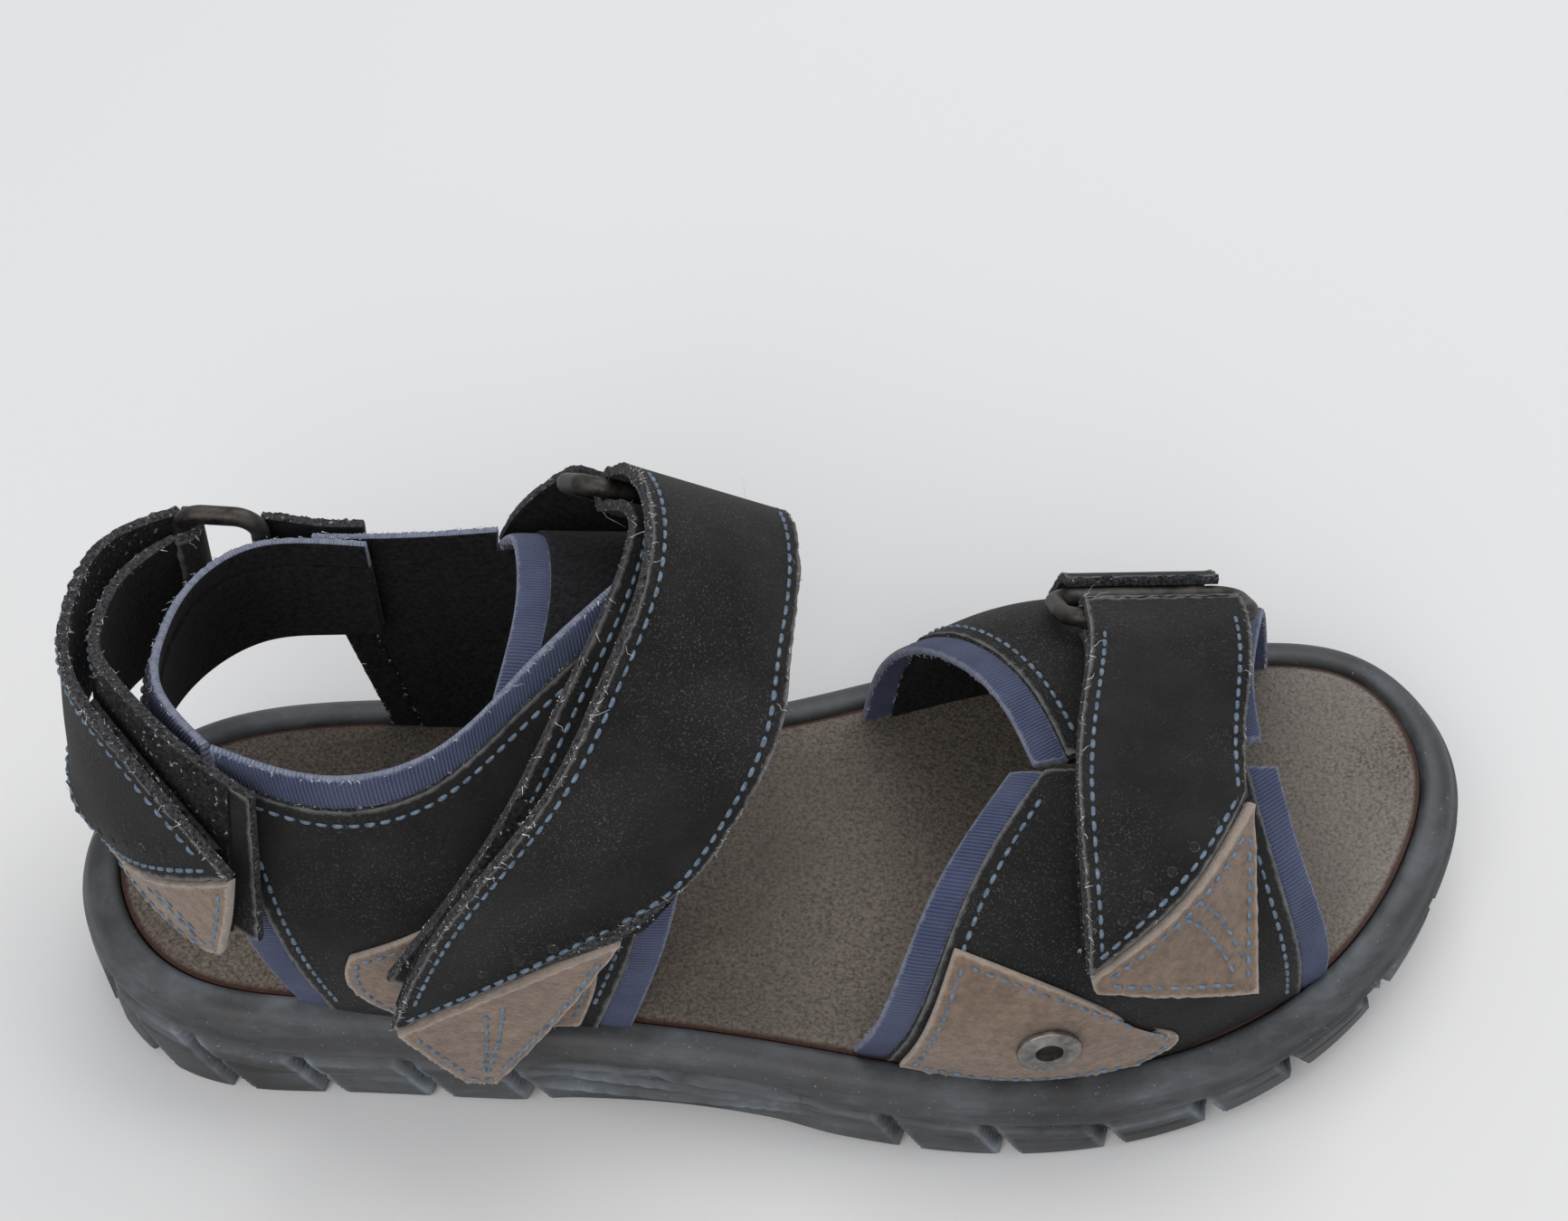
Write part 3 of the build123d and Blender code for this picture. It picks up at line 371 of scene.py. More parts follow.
def ply(name, net, thickness, mats, crown=0.0, ruffle=0.0, slack=0.3):
    # one cut piece with its thickness: mats are outer face, cut edge and inner face
    grid, normals = net
    along, across = grid.shape[:2]
    u, v = arcs(grid)
    edge = np.minimum(np.minimum(u, u[-1] - u), np.minimum(v, v[:, -1:] - v))
    domed = np.clip(np.minimum(v, v[:, -1:] - v) / 1.6, 0, 1) ** 0.5
    thick = np.full((along, across), thickness / 2) * (1 - crown + crown * domed)
    worn = np.random.RandomState(len(name) * 31 + along).randn(along, across) * ruffle * np.clip(1 - edge / 1.5, 0, 1)
    top = grid + normals * (thick + worn)[..., None] * mm
    bottom = grid - normals * thick[..., None] * mm
    verts = list(top.reshape(-1, 3)) + list(bottom.reshape(-1, 3))
    uvs = [(a / 10, b / 10) for a, b in zip(u.ravel(), v.ravel())] * 2
    away = list(edge.ravel()) * 2
    faces, faceMats = [], []
    count = along * across
    for i in range(along - 1):
        for j in range(across - 1):
            a, b, c, d = i * across + j, (i + 1) * across + j, (i + 1) * across + j + 1, i * across + j + 1
            faces.append((a, b, c, d))
            faces.append((count + d, count + c, count + b, count + a))
            faceMats += [0, 2]
    loop = rimLoop(along, across)
    start = len(verts)
    for k, (i, j) in enumerate(loop):
        before, after = loop[k - 1], loop[(k + 1) % len(loop)]
        tangent = unit(grid[after] - grid[before])
        outward = np.cross(tangent, normals[i, j])
        verts.append(grid[i, j] + outward * slack * mm)
        uvs.append((u[i, j] / 10, v[i, j] / 10))
        away.append(0)
    for k in range(len(loop)):
        n = (k + 1) % len(loop)
        a, b = loop[k][0] * across + loop[k][1], loop[n][0] * across + loop[n][1]
        faces += [(b, a, start + k, start + n), (start + n, start + k, count + a, count + b)]
        faceMats += [1, 1]
    return addMesh(name, verts, faces, mats, faceMats, uvs, {"edgeAway": away})


def onNet(net, path, lift=0.0, steps=40):
    # points and normals along straight runs between shares (along, across) of a net
    grid, normals = net
    spotsOut, normalsOut = [], []
    for (u0, v0), (u1, v1) in zip(path[:-1], path[1:]):
        for share in np.linspace(0, 1, steps):
            u = (u0 + (u1 - u0) * share) * (grid.shape[0] - 1)
            v = (v0 + (v1 - v0) * share) * (grid.shape[1] - 1)
            i, j = min(int(u), grid.shape[0] - 2), min(int(v), grid.shape[1] - 2)
            a, b = u - i, v - j
            pick = lambda g: (g[i, j] * (1 - a) * (1 - b) + g[i + 1, j] * a * (1 - b)
                              + g[i, j + 1] * (1 - a) * b + g[i + 1, j + 1] * a * b)
            n = unit(pick(normals))
            spotsOut.append(pick(grid) + n * lift * mm)
            normalsOut.append(n)
    return np.array(spotsOut), np.array(normalsOut)


def alongEdge(net, side, inset, lift, trim=(0.0, 0.0)):
    # a line that keeps its distance from one edge of a net: low, high, start or end
    grid, normals = net
    if side in ("start", "end"):
        grid, normals = grid.transpose(1, 0, 2), normals.transpose(1, 0, 2)
    if side in ("high", "end"):
        grid, normals = grid[:, ::-1], normals[:, ::-1]
    out, up = [], []
    rows = len(grid)
    for i in range(int(trim[0] * rows), rows - int(trim[1] * rows)):
        reach = np.concatenate([[0], np.cumsum(np.linalg.norm(np.diff(grid[i], axis=0), axis=1))]) / mm
        if reach[-1] < 2.4 * inset:
            continue
        place = [np.interp(inset, reach, grid[i][:, k]) for k in range(3)]
        n = unit(np.array([np.interp(inset, reach, normals[i][:, k]) for k in range(3)]))
        out.append(np.array(place) + n * lift * mm)
        up.append(n)
    return np.array(out), np.array(up)


stitchSize = {"pitch": 3.0, "length": 2.3, "thread": 0.4}
runs = {}       # rows of stitching wait here by body until each is made in one piece


def sew(body, *rows):
    runs.setdefault(body, []).extend(rows)


def makeStitches(name, rows, size):
    verts, faces = [], []
    ringShape = ((-1.0, 0.25, -0.5), (-0.62, 0.95, 0.1), (0.0, 1.1, 0.35), (0.62, 0.95, 0.1), (1.0, 0.25, -0.5))
    sides = 6
    for path, normals in rows:
        reach = np.concatenate([[0], np.cumsum(np.linalg.norm(np.diff(path, axis=0), axis=1))]) / mm
        keep = np.concatenate([[True], np.diff(reach) > 1e-6])
        reach, path, normals = reach[keep], path[keep], normals[keep]
        total = int((reach[-1] - 1) / size["pitch"])
        for k in range(total):
            middle = 0.5 + size["pitch"] * (k + 0.5)
            ends = [np.array([np.interp(middle + d * size["length"] / 2, reach, path[:, c]) for c in range(3)])
                    for d in (-1, 1)]
            n = unit(np.array([np.interp(middle, reach, normals[:, c]) for c in range(3)]))
            forward = unit(ends[1] - ends[0])
            sideways = unit(np.cross(n, forward)) + forward * random.uniform(-0.12, 0.12)
            centre, half = (ends[0] + ends[1]) / 2, np.linalg.norm(ends[1] - ends[0]) / 2
            base = len(verts)
            fat = size["thread"] * random.uniform(0.85, 1.15)
            for share, girth, rise in ringShape:
                for s in range(sides):
                    turn = 2 * pi * s / sides
                    verts.append(centre + forward * half * share + n * (rise * fat) * mm
                                 + (sideways * cos(turn) + n * sin(turn) * 0.8) * fat * girth * mm)
            for r in range(len(ringShape) - 1):
                for s in range(sides):
                    a, b = base + r * sides + s, base + r * sides + (s + 1) % sides
                    faces.append((a, b, b + sides, a + sides))
            faces.append(tuple(base + s for s in reversed(range(sides))))
            faces.append(tuple(base + (len(ringShape) - 1) * sides + s for s in range(sides)))
    return addMesh(name, verts, faces, [threadMat], [0] * len(faces))


frays = {}
dots = {}


def fray(body, path, normals, perCm=14, length=(0.5, 1.6), spread=0.25, side=1):
    frays.setdefault(body, []).append((path, normals, perCm, length, spread, side))


def frayEdge(body, net, side, lift, trim=(0.0, 0.0), inset=0.1, **look):
    fray(body, *alongEdge(net, side, inset, lift, trim), side=1 if side in ("high", "start") else -1, **look)


def makeFray(name, rows, mat):
    verts, faces = [], []
    for path, normals, perCm, length, spread, side in rows:
        reach = np.concatenate([[0], np.cumsum(np.linalg.norm(np.diff(path, axis=0), axis=1))]) / mm
        for _ in range(int(reach[-1] / 10 * perCm)):
            s = random.uniform(0, reach[-1])
            at = lambda q: np.array([np.interp(q, reach, path[:, c]) for c in range(3)])
            place, ahead = at(s), unit(at(min(s + 1, reach[-1])) - at(max(s - 1, 0)))
            n = unit(np.array([np.interp(s, reach, normals[:, c]) for c in range(3)]))
            out = np.cross(ahead, n) * side
            heading = unit(out * random.uniform(0.3, 1) + n * random.uniform(-0.6, 0.9)
                           + ahead * random.uniform(-1.3, 1.3))
            place = place + (out * random.uniform(-0.3, 0.15) + n * random.uniform(-spread, spread)) * mm
            size = random.uniform(*length) * (2.2 if random.random() < 0.05 else 1)
            thick = random.uniform(0.06, 0.13)
            base = len(verts)
            for r in range(4):
                first = unit(np.cross(heading, np.array([0.3, 0.2, 0.9])))
                second = np.cross(heading, first)
                for k in range(3):
                    turn = 2 * pi * k / 3
                    verts.append(place + (first * cos(turn) + second * sin(turn)) * thick * (1 - r * 0.25) * mm)
                place = place + heading * size / 3 * mm
                heading = unit(heading + np.array([random.gauss(0, 0.45) for _ in range(3)]))
            for r in range(3):
                for k in range(3):
                    a, b = base + r * 3 + k, base + r * 3 + (k + 1) % 3
                    faces.append((a, b, b + 3, a + 3))
            faces += [(base + 2, base + 1, base), (base + 9, base + 10, base + 11)]
    return addMesh(name, verts, faces, [mat], [0] * len(faces))


def makeDots(name, places, mat, grow=1.0, high=0.1):
    verts, faces = [], []
    for centre, n, radius in places:
        radius = radius * grow
        first = unit(np.cross(n, np.array([0.2, 0.9, 0.4])))
        second = np.cross(n, first)
        base = len(verts)
        for rise in (high, -0.2):
            for k in range(20):
                turn = 2 * pi * k / 20
                verts.append(centre + (first * cos(turn) * radius + second * sin(turn) * radius + n * rise) * mm)
        faces.append(tuple(base + k for k in range(20)))
        faces.append(tuple(base + 39 - k for k in range(20)))
        for k in range(20):
            n1 = (k + 1) % 20
            faces.append((base + k, base + 20 + k, base + 20 + n1, base + n1))
    return addMesh(name, verts, faces, [mat], [0] * len(faces))


def settle(piece, body, *nodes, slot=None):
    if nodes:
        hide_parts(*nodes)
    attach(piece, body)
    return piece


# sole and footbed
sole = {
    "outline": ((-36, 3), (-24, -23.5), (9, -32.5), (54, -39), (99, -47.5), (139, -56), (179, -55), (214, -41),
                (236, -17), (244, 6), (234, 32), (214, 40), (179, 44), (139, 40.5), (99, 31), (54, 34), (9, 37.5),
                (-24, 28.5)),
    "footbed": ((-50, 32), (-30, 28), (10, 24), (60, 23), (110, 20.5), (150, 18), (185, 18.5), (220, 24.72),
                (262, 35.85)),
    "tread": ((-50, 6), (-30, 0.6), (0, 0), (40, 1), (80, 4.5), (115, 1.4), (145, 0), (178, 0.8), (215, 7.56),
              (262, 26)),
    "rim": 8.0, "cup": 8.3, "stations": 900, "wallRows": 34, "underRings": 26, "footbedRings": 30,
    "grooves": (-33, -17, 2, 24, 44, 118, 138, 160, 182, 202, 222), "grooveWidth": 3.0, "grooveDepth": 3.0,
    "slant": 0.55, "waist": (52, 108),
}


def heightCurve(points):
    line = curve([(x, z, 0) for x, z in points], np.linspace(0, 1, 600))
    return lambda x: np.interp(x, line[:, 0], line[:, 1])


footbedZ = heightCurve(sole["footbed"])
treadZ = heightCurve(sole["tread"])


def closedLine(points, count):
    n = len(points)
    ring = [(x, y, 0) for x, y in points]
    ring = ring[-4:] + ring + ring[:5]
    steps = np.linalg.norm(np.diff(np.array(ring, float), axis=0), axis=1)
    t = np.concatenate([[0], np.cumsum(steps)]) / steps.sum()
    dense = curve(ring, np.linspace(t[4], t[4 + n], 6000))[:, :2]
    reach = np.concatenate([[0], np.cumsum(np.linalg.norm(np.diff(dense, axis=0), axis=1))])
    even = np.linspace(0, reach[-1], count, endpoint=False)
    return np.stack([np.interp(even, reach, dense[:, k]) for k in (0, 1)], axis=1)


def smoothStep(value, low, high):
    t = np.clip((value - low) / (high - low), 0, 1)
    return t * t * (3 - 2 * t)


def grooveShare(x, y, up):
    # 1 in the middle of a groove between two lugs, 0 on a lug
    off = np.full(np.shape(x), 99.0)
    for middle in sole["grooves"]:
        off = np.minimum(off, np.abs(x + 0.14 * y - middle - sole["slant"] * up * np.sign(y)))
    turn = np.arctan2(y + 4, x - 196)
    for k in range(-3, 4):
        off = np.minimum(off, np.where(x > 226, np.abs(turn - k * 0.42) * 44, 99.0))
    turn = np.arctan2(y - 3, -8 - x)
    for k in (-1, 0, 1):
        off = np.minimum(off, np.where(x < -34, np.abs(turn - k * 0.62) * 36, 99.0))
    return 1 - smoothStep(off, sole["grooveWidth"] / 2 - 0.5, sole["grooveWidth"] / 2 + 0.7)


def wrapFaces(rows, stations, offset=0):
    faces = []
    for r in range(rows - 1):
        for s in range(stations):
            a, b = offset + r * stations + s, offset + r * stations + (s + 1) % stations
            faces.append((a, a + stations, b + stations, b))
    return faces


edgeLine = closedLine(sole["outline"], sole["stations"])
edgeTangent = unit(np.roll(edgeLine, -1, axis=0) - np.roll(edgeLine, 1, axis=0))
edgeOut = np.stack([edgeTangent[:, 1], -edgeTangent[:, 0]], axis=1)
spine = np.stack([np.clip(edgeLine[:, 0], -6, 205), np.zeros(sole["stations"])], axis=1)
spine[:, 1] = np.interp(spine[:, 0], (-6, 54, 99, 139, 205), (2, -2, -8, -8, -4))


def soleRows():
    rows, ridgeHighlights = [], []

    def add(offset, z, ridgeHighlight=0.0):
        place = edgeLine + edgeOut * np.reshape(offset, (-1, 1))
        rows.append(np.column_stack([place, z]))
        ridgeHighlights.append(np.broadcast_to(ridgeHighlight, (sole["stations"],)))

    x = edgeLine[:, 0]
    top = footbedZ(x)
    one = np.ones(sole["stations"])
    # the third number of each row is a painted highlight along the rim's rounded top
    for offset, rise, ridgeHighlight in ((-0.6, -3.2, 0), (0.25, -0.8, 0), (0.5, 0.5, 0), (1.1, 1.2, 0.1), (2.2, 1.55, 0.25),
                                (3.6, 1.5, 0.15), (5.0, 1.1, 0.05), (6.4, 0.2, 0.05), (7.4, -1.2, 0.1),
                                (sole["rim"], -2.8, 0.05)):
        add(one * offset, top + rise, ridgeHighlight)
    waistStart, waistEnd = sole["waist"]
    inWaist = smoothStep(x, waistStart - 6, waistStart + 8) * (1 - smoothStep(x, waistEnd - 8, waistEnd + 6))
    for k in range(1, sole["wallRows"] + 1):
        h = k / sole["wallRows"]
        wallX = edgeLine[:, 0] + edgeOut[:, 0] * 9
        wallY = edgeLine[:, 1] + edgeOut[:, 1] * 9
        bottom = treadZ(wallX)
        z = (top - 2.8) * (1 - h) + (bottom + 0.7) * h
        up = z - bottom
        groove = grooveShare(wallX, wallY, up) * (1 - inWaist)
        # the smooth band under the rim bellies out, a step parts it from the lugs
        wave = 0.31 + 0.07 * np.sin(x / 21) + 0.05 * np.sin(x / 9 + 1)
        belly = 0.9 * np.sin(pi * np.clip(h / wave, 0, 1))
        step = 0.9 * np.exp(-((h - wave) / 0.035) ** 2)
        lug = smoothStep(h, wave, wave + 0.1)
        offset = sole["rim"] + belly - step + 1.2 * lug - 3.1 * groove * smoothStep(h, wave + 0.02, wave + 0.12)
        ledge = 0.55 * np.exp(-((h - (wave + 0.3)) / 0.03) ** 2) * (1 - inWaist)
        offset = offset - ledge
        # flowing lines over the waist
        flow = 0.0
        for lift, swing, phase in ((0.3, 0.1, 0.3), (0.5, 0.13, 0.9), (0.72, 0.1, 1.5)):
            line = lift + swing * np.sin(x / 13 + phase) - 0.002 * (x - 80)
            flow = flow + np.exp(-((h - line) / 0.035) ** 2)
        offset = offset + (1.5 * np.clip(flow, 0, 1) - 0.9 - 1.0 * np.sin(pi * h)) * inWaist
        # painted highlight: the lug edges, the waist's flowing lines and a band beside the step get the pale scuff
        # colour
        edge = np.clip(grooveShare(wallX + 1.3, wallY, up) + grooveShare(wallX - 1.3, wallY, up) - 1.6 * groove, 0, 1)
        ridgeHighlight = np.clip(edge * lug * (1 - inWaist) + 0.8 * np.clip(flow, 0, 1) * inWaist
                        + 0.5 * np.exp(-((h - wave - 0.08) / 0.03) ** 2), 0, 1)
        lifted = z + groove * sole["grooveDepth"] * smoothStep(h, 0.8, 1.0)
        add(offset, lifted, ridgeHighlight)
    last = offset
    # the lower edge of the wall carries a painted highlight of 0.3
    for drop, pull in ((0.2, 0.7), (0.0, 1.6)):
        z = bottom + drop + groove * sole["grooveDepth"]
        add(last - pull, z, 0.3)
    for k in range(1, sole["underRings"] + 1):
        share = (k / sole["underRings"]) ** 0.9
        place = (edgeLine + edgeOut * np.reshape(last - 1.6, (-1, 1))) * (1 - share) + spine * share
        px, py = place[:, 0], place[:, 1]
        cut = grooveShare(px, py, 0.0) * (1 - smoothStep(px, 52, 60) * (1 - smoothStep(px, 100, 110)))
        channel = 1 - smoothStep(np.abs(py - np.interp(px, (0, 60, 140, 200), (3, -2, -8, -6))), 1.2, 2.4)
        knobs = 0.5 + 0.5 * np.sin(px * 0.9) * np.sin(py * 0.9)
        waist = smoothStep(px, 50, 62) * (1 - smoothStep(px, 98, 112))
        z = treadZ(px) + np.maximum(cut, channel * (1 - waist)) * sole["grooveDepth"] + 0.5 * knobs * (1 - waist)
        rows.append(np.column_stack([place, z]))
        ridgeHighlights.append(np.zeros(sole["stations"]))
    return rows, ridgeHighlights


soleRowList, soleRidgeHighlights = soleRows()
stations = sole["stations"]
soleVerts = np.concatenate(soleRowList) * mm
soleFaces = wrapFaces(len(soleRowList), stations)
# inside of the cup: from the rim's inner edge down and across under the footbed
cupStart = len(soleVerts)
cupRows = []
for inset, drop in ((0.4, 5.0), (0.6, sole["cup"]), (14.0, sole["cup"])):
    place = edgeLine - edgeOut * inset
    cupRows.append(np.column_stack([place, footbedZ(place[:, 0]) - drop]))
spineRow = np.column_stack([spine, footbedZ(spine[:, 0]) - sole["cup"]])
cupRows.append(spineRow)
soleVerts = np.concatenate([soleVerts, np.concatenate(cupRows) * mm])
soleFaces += [tuple(reversed(f)) for f in wrapFaces(len(cupRows), stations, cupStart)]
for s in range(stations):
    n = (s + 1) % stations
    soleFaces.append((s, n, cupStart + n, cupStart + s))
ridgeHighlightValues = np.concatenate(soleRidgeHighlights + [np.zeros(stations * len(cupRows))])
wallCount = 12 + sole["wallRows"]
treadFrom = (wallCount - 1) * stations
soleMats = [0 if min(f) < treadFrom or min(f) >= cupStart else 1 for f in soleFaces]
soleUnit = addMesh("soleUnit", soleVerts, soleFaces, [rubberMat, treadMat], soleMats, None, {"ridgeHighlight": ridgeHighlightValues}, 70)
settle(soleUnit, "root", "outsole", "midsole", slot="rim_rubber")


def makeFootbedPad():
    rings, away, worn = [], [], []
    count = sole["footbedRings"]
    for k in range(count + 1):
        share = (k / count) ** 1.3
        place = (edgeLine - edgeOut * 0.1) * (1 - share) + spine * share
        inset = np.linalg.norm(place - edgeLine, axis=1)
        x, y = place[:, 0], place[:, 1]
        sunk = 1 - np.exp(-(inset / 13) ** 2)
        arch = 2.0 * np.exp(-((x - 75) / 30) ** 2) * smoothStep(y, 8, 34)
        z = footbedZ(x) + 0.7 - 1.5 * sunk + arch * smoothStep(inset, 0, 6)
        z = z - 0.8 * smoothStep(2.0 - inset, 0, 2.0)
        rings.append(np.column_stack([place, z]))
        away.append(inset)
        worn.append(np.clip(1.0 * np.exp(-((x - 232) / 20) ** 2)
                            + 0.1 * np.exp(-((x + 18) / 22) ** 2 - ((y - 2) / 30) ** 2)
                            + 0.4 * np.exp(-((x - 190) / 26) ** 2 - ((y + 10) / 30) ** 2)
                            + 0.3 * np.exp(-((x - 120) / 30) ** 2), 0, 1))
    low = [row - np.array([0, 0, 1.4]) for row in rings[::-1]]
    verts = np.concatenate(rings + low) * mm
    faces = [tuple(reversed(f)) for f in wrapFaces(len(rings) * 2, stations)]
    rows = len(rings) * 2
    lastRow = (rows - 1) * stations
    faces += [(s, (s + 1) % stations, lastRow + (s + 1) % stations, lastRow + s) for s in range(stations)]
    values = {"edgeAway": np.concatenate(away + away[::-1]), "worn": np.concatenate(worn + worn[::-1])}
    pad = addMesh("footbedTop", verts, faces, [footbedMat], [0] * len(faces), None, values, 70)
    settle(pad, "root", "footbed_cover", slot="footbed_suede")
    return pad


footbedTop = makeFootbedPad()
print("sole and footbed built")


# upper: quarters, heel band, throat, vamps and their tapes
upper = {"nubuck": 1.7, "lining": 1.5, "plyGap": 0.2, "edgeGap": 0.4, "bindingWidth": 6.5, "binding": 2.2,
         "patch": 1.2, "patchGap": 0.35, "padGap": 0.7, "seatLift": -1.2}
skinLift = upper["plyGap"] / 2 + upper["nubuck"] / 2
liningLift = -upper["plyGap"] / 2 - upper["lining"] / 2
patchLift = upper["plyGap"] / 2 + upper["nubuck"] + upper["patchGap"] + upper["patch"] / 2
bindingLift = (upper["nubuck"] - upper["lining"]) / 2


def seat(x, y):
    # the upper goes into the seam between footbed and rim
    return np.array((x, y, footbedZ(x) + upper["seatLift"])) * mm


def beyond(points, inner):
    points, inner = np.array(points), np.array(inner)
    away = unit(points - inner)
    near = points + away * upper["edgeGap"] * 0.3 * mm
    far = points + away * (upper["edgeGap"] + upper["bindingWidth"]) * mm
    return [list(near), list(far)]


panels = {
    "outerQuarter": {
        "rails": [[seat(11, -34), seat(24, -36.5), seat(37, -38), seat(50, -40), seat(63, -42)],
                  spots((4, -35.5, 57), (19, -37.5, 57), (34, -38.5, 59), (53, -37, 64), (77, -33, 74)),
                  spots((-1, -25, 93), (18, -28.5, 86), (36, -27.5, 89), (56, -19, 103), (75, -4, 108))],
        "nodes": ("lateral_quarter", "lateral_quarter_lining"), "sign": 1},
    "heelBand": {
        "rails": [spots((22, 36.6, 58.5), (11, 37.4, 58), (-3, 37.6, 57), (-18, 29, 55), (-25.5, 9, 56),
                        (-21, -14, 61), (-6, -31, 66)),
                  spots((22, 36.2, 79.2), (11, 37, 80.2), (0, 36.3, 81.2), (-11, 27, 84), (-16.5, 8, 88),
                        (-14, -10, 92), (-4, -23, 91))],
        "nodes": ("heel_band", "heel_band_lining"), "sign": 1},
    "innerQuarter": {
        "rails": [[seat(80, 31.5), seat(66, 33), seat(52, 34.5), seat(38, 36), seat(27, 37)],
                  spots((78, 36, 56), (62, 39, 56), (46, 40.5, 56), (32, 40.5, 56), (20, 40, 55)),
                  spots((84, 35, 82), (66, 38, 81), (48, 39.5, 78), (31, 40, 77), (13, 39.5, 79))],
        "nodes": ("medial_quarter", "medial_quarter_lining"), "sign": 1},
    "throat": {
        "rails": [spots((55.5, 38.8, 80.6), (59, 31, 90), (60.5, 15, 94.5), (59, 0, 96.5), (56, -12, 95)),
                  spots((84, 35.2, 83.2), (88, 27, 91), (90, 12, 95.5), (89, 0, 97), (86, -10, 95))],
        "nodes": ("throat_panel", "throat_panel_lining"), "sign": -1},
    "outerVamp": {
        "rails": [[seat(122, -51), seat(143, -55.5), seat(165, -55.5), seat(188, -50.5), seat(208, -43)],
                  spots((127, -53.5, 37), (146, -56, 37), (165, -56, 37), (184, -52, 38), (204, -44.5, 42)),
                  spots((137, -42, 62), (151, -44, 64), (166, -44, 64), (182, -41, 62), (198, -36, 59)),
                  spots((155, -19, 69), (165, -20, 69.7), (175, -20, 69.7), (185, -19.5, 68.8), (195, -19, 67))],
        "nodes": ("lateral_vamp", "lateral_vamp_lining"), "sign": 1},
    "innerVamp": {
        "rails": [[seat(212, 39), seat(192, 42), seat(170, 42.5), seat(150, 40), seat(132, 35.5)],
                  spots((208, 39.5, 43), (188, 43, 40), (170, 44, 40), (153, 42, 40), (136, 35, 41)),
                  spots((202, 26, 55.5), (186, 30, 56.5), (170, 31, 57.5), (156, 28, 58.5), (146, 22, 59.5)),
                  spots((196, 7, 62.5), (185, 9, 64), (174, 9, 65), (164, 8, 66), (155, 5, 66)),
                  spots((194, -11, 65), (185, -12, 67), (176, -13, 68), (168, -14, 68), (160.5, -14.5, 67))],
        "nodes": ("medial_vamp", "medial_vamp_lining"), "sign": 1},
}

skinNets = {}
for name, panel in panels.items():
    sign = panel["sign"]
    long = 90 if name == "heelBand" else 60
    skinNets[name] = sheetGrid(panel["rails"], sign * skinLift, long, 40)
    liningNet = sheetGrid(panel["rails"], sign * liningLift, long, 30)
    mats = [nubuckMat, rawEdgeMat, nubuckMat]
    skin = ply(name + "Skin", skinNets[name], upper["nubuck"], mats, ruffle=0.12)
    inner = ply(name + "Lining", liningNet, upper["lining"], [liningMat, liningMat, liningMat], ruffle=0.1)
    settle(skin, "root", panel["nodes"][0], slot="upper_nubuck")
    settle(inner, "root", panel["nodes"][1], slot="lining_textile")

rails = {name: panel["rails"] for name, panel in panels.items()}


def ends(name, index, step, rows=None):
    # the end points of each rail of a panel and their neighbours
    lines = rails[name][:rows] if rows else rails[name]
    return [points[index] for points in lines], [points[index + step] for points in lines]


def tapeRails(pair, flip=False):
    near, far = beyond(*pair)
    return [far, near] if flip else [near, far]


# each tape: its rails, whether it lies on the rim line or inside it, its cad node and the share that it runs
bindings = {
    "collarOuter": (tapeRails((rails["outerQuarter"][2], rails["outerQuarter"][1])), 1, "lateral_collar_binding", 1.0),
    "rearOuter": (tapeRails(ends("outerQuarter", 0, 1), True), -1, "lateral_rear_binding", 0.6),
    "frontOuter": (tapeRails(ends("outerQuarter", -1, -1)), -1, "lateral_front_binding", 1.0),
    "collarHeel": (tapeRails((rails["heelBand"][1], rails["heelBand"][0])), 1, "heel_collar_binding", 1.0),
    "collarInner": (tapeRails((rails["innerQuarter"][2][2:], rails["innerQuarter"][1][2:])), 1,
                    "medial_collar_binding", 1.0),
    "frontInner": (tapeRails(ends("innerQuarter", 0, 1), True), -1, "medial_front_binding", 1.0),
    "rearInner": (tapeRails(ends("innerQuarter", -1, -1, 2)), -1, "medial_rear_binding", 1.0),
    "throatEdge": (tapeRails((rails["throat"][0], rails["throat"][1])), 1, "throat_binding", 1.0),
    "vampOuterRear": (tapeRails(ends("outerVamp", 0, 1), True), -1, "lateral_vamp_rear_binding", 1.0),
    "vampOuterFront": (tapeRails(ends("outerVamp", -1, -1)), -1, "lateral_vamp_front_binding", 1.0),
    "vampInnerRear": (tapeRails(ends("innerVamp", -1, -1)), -1, "medial_vamp_rear_binding", 1.0),
    "vampInnerFront": (tapeRails(ends("innerVamp", 0, 1), True), -1, "medial_vamp_front_binding", 1.0),
}
blackInside = ("collarHeel", "collarInner")
for name, (lines, sign, cadNode, last) in bindings.items():
    net = sheetGrid(lines, sign * bindingLift, 90, 12, last=last)
    tapeMats = [elasticMat, elasticMat, liningMat if name in blackInside else elasticMat]
    if name == "rearInner":
        tapeMats = [liningMat, liningMat, elasticMat]
    tape = ply(name + "Tape", net, upper["binding"], tapeMats, crown=0.35, ruffle=0.1)
    settle(tape, "root", cadNode, slot="elastic_binding")
    for side in ("low", "high"):
        frayEdge("root", net, side, 1.0, (0.02, 0.02), inset=0.15, perCm=7, length=(0.4, 1.2))

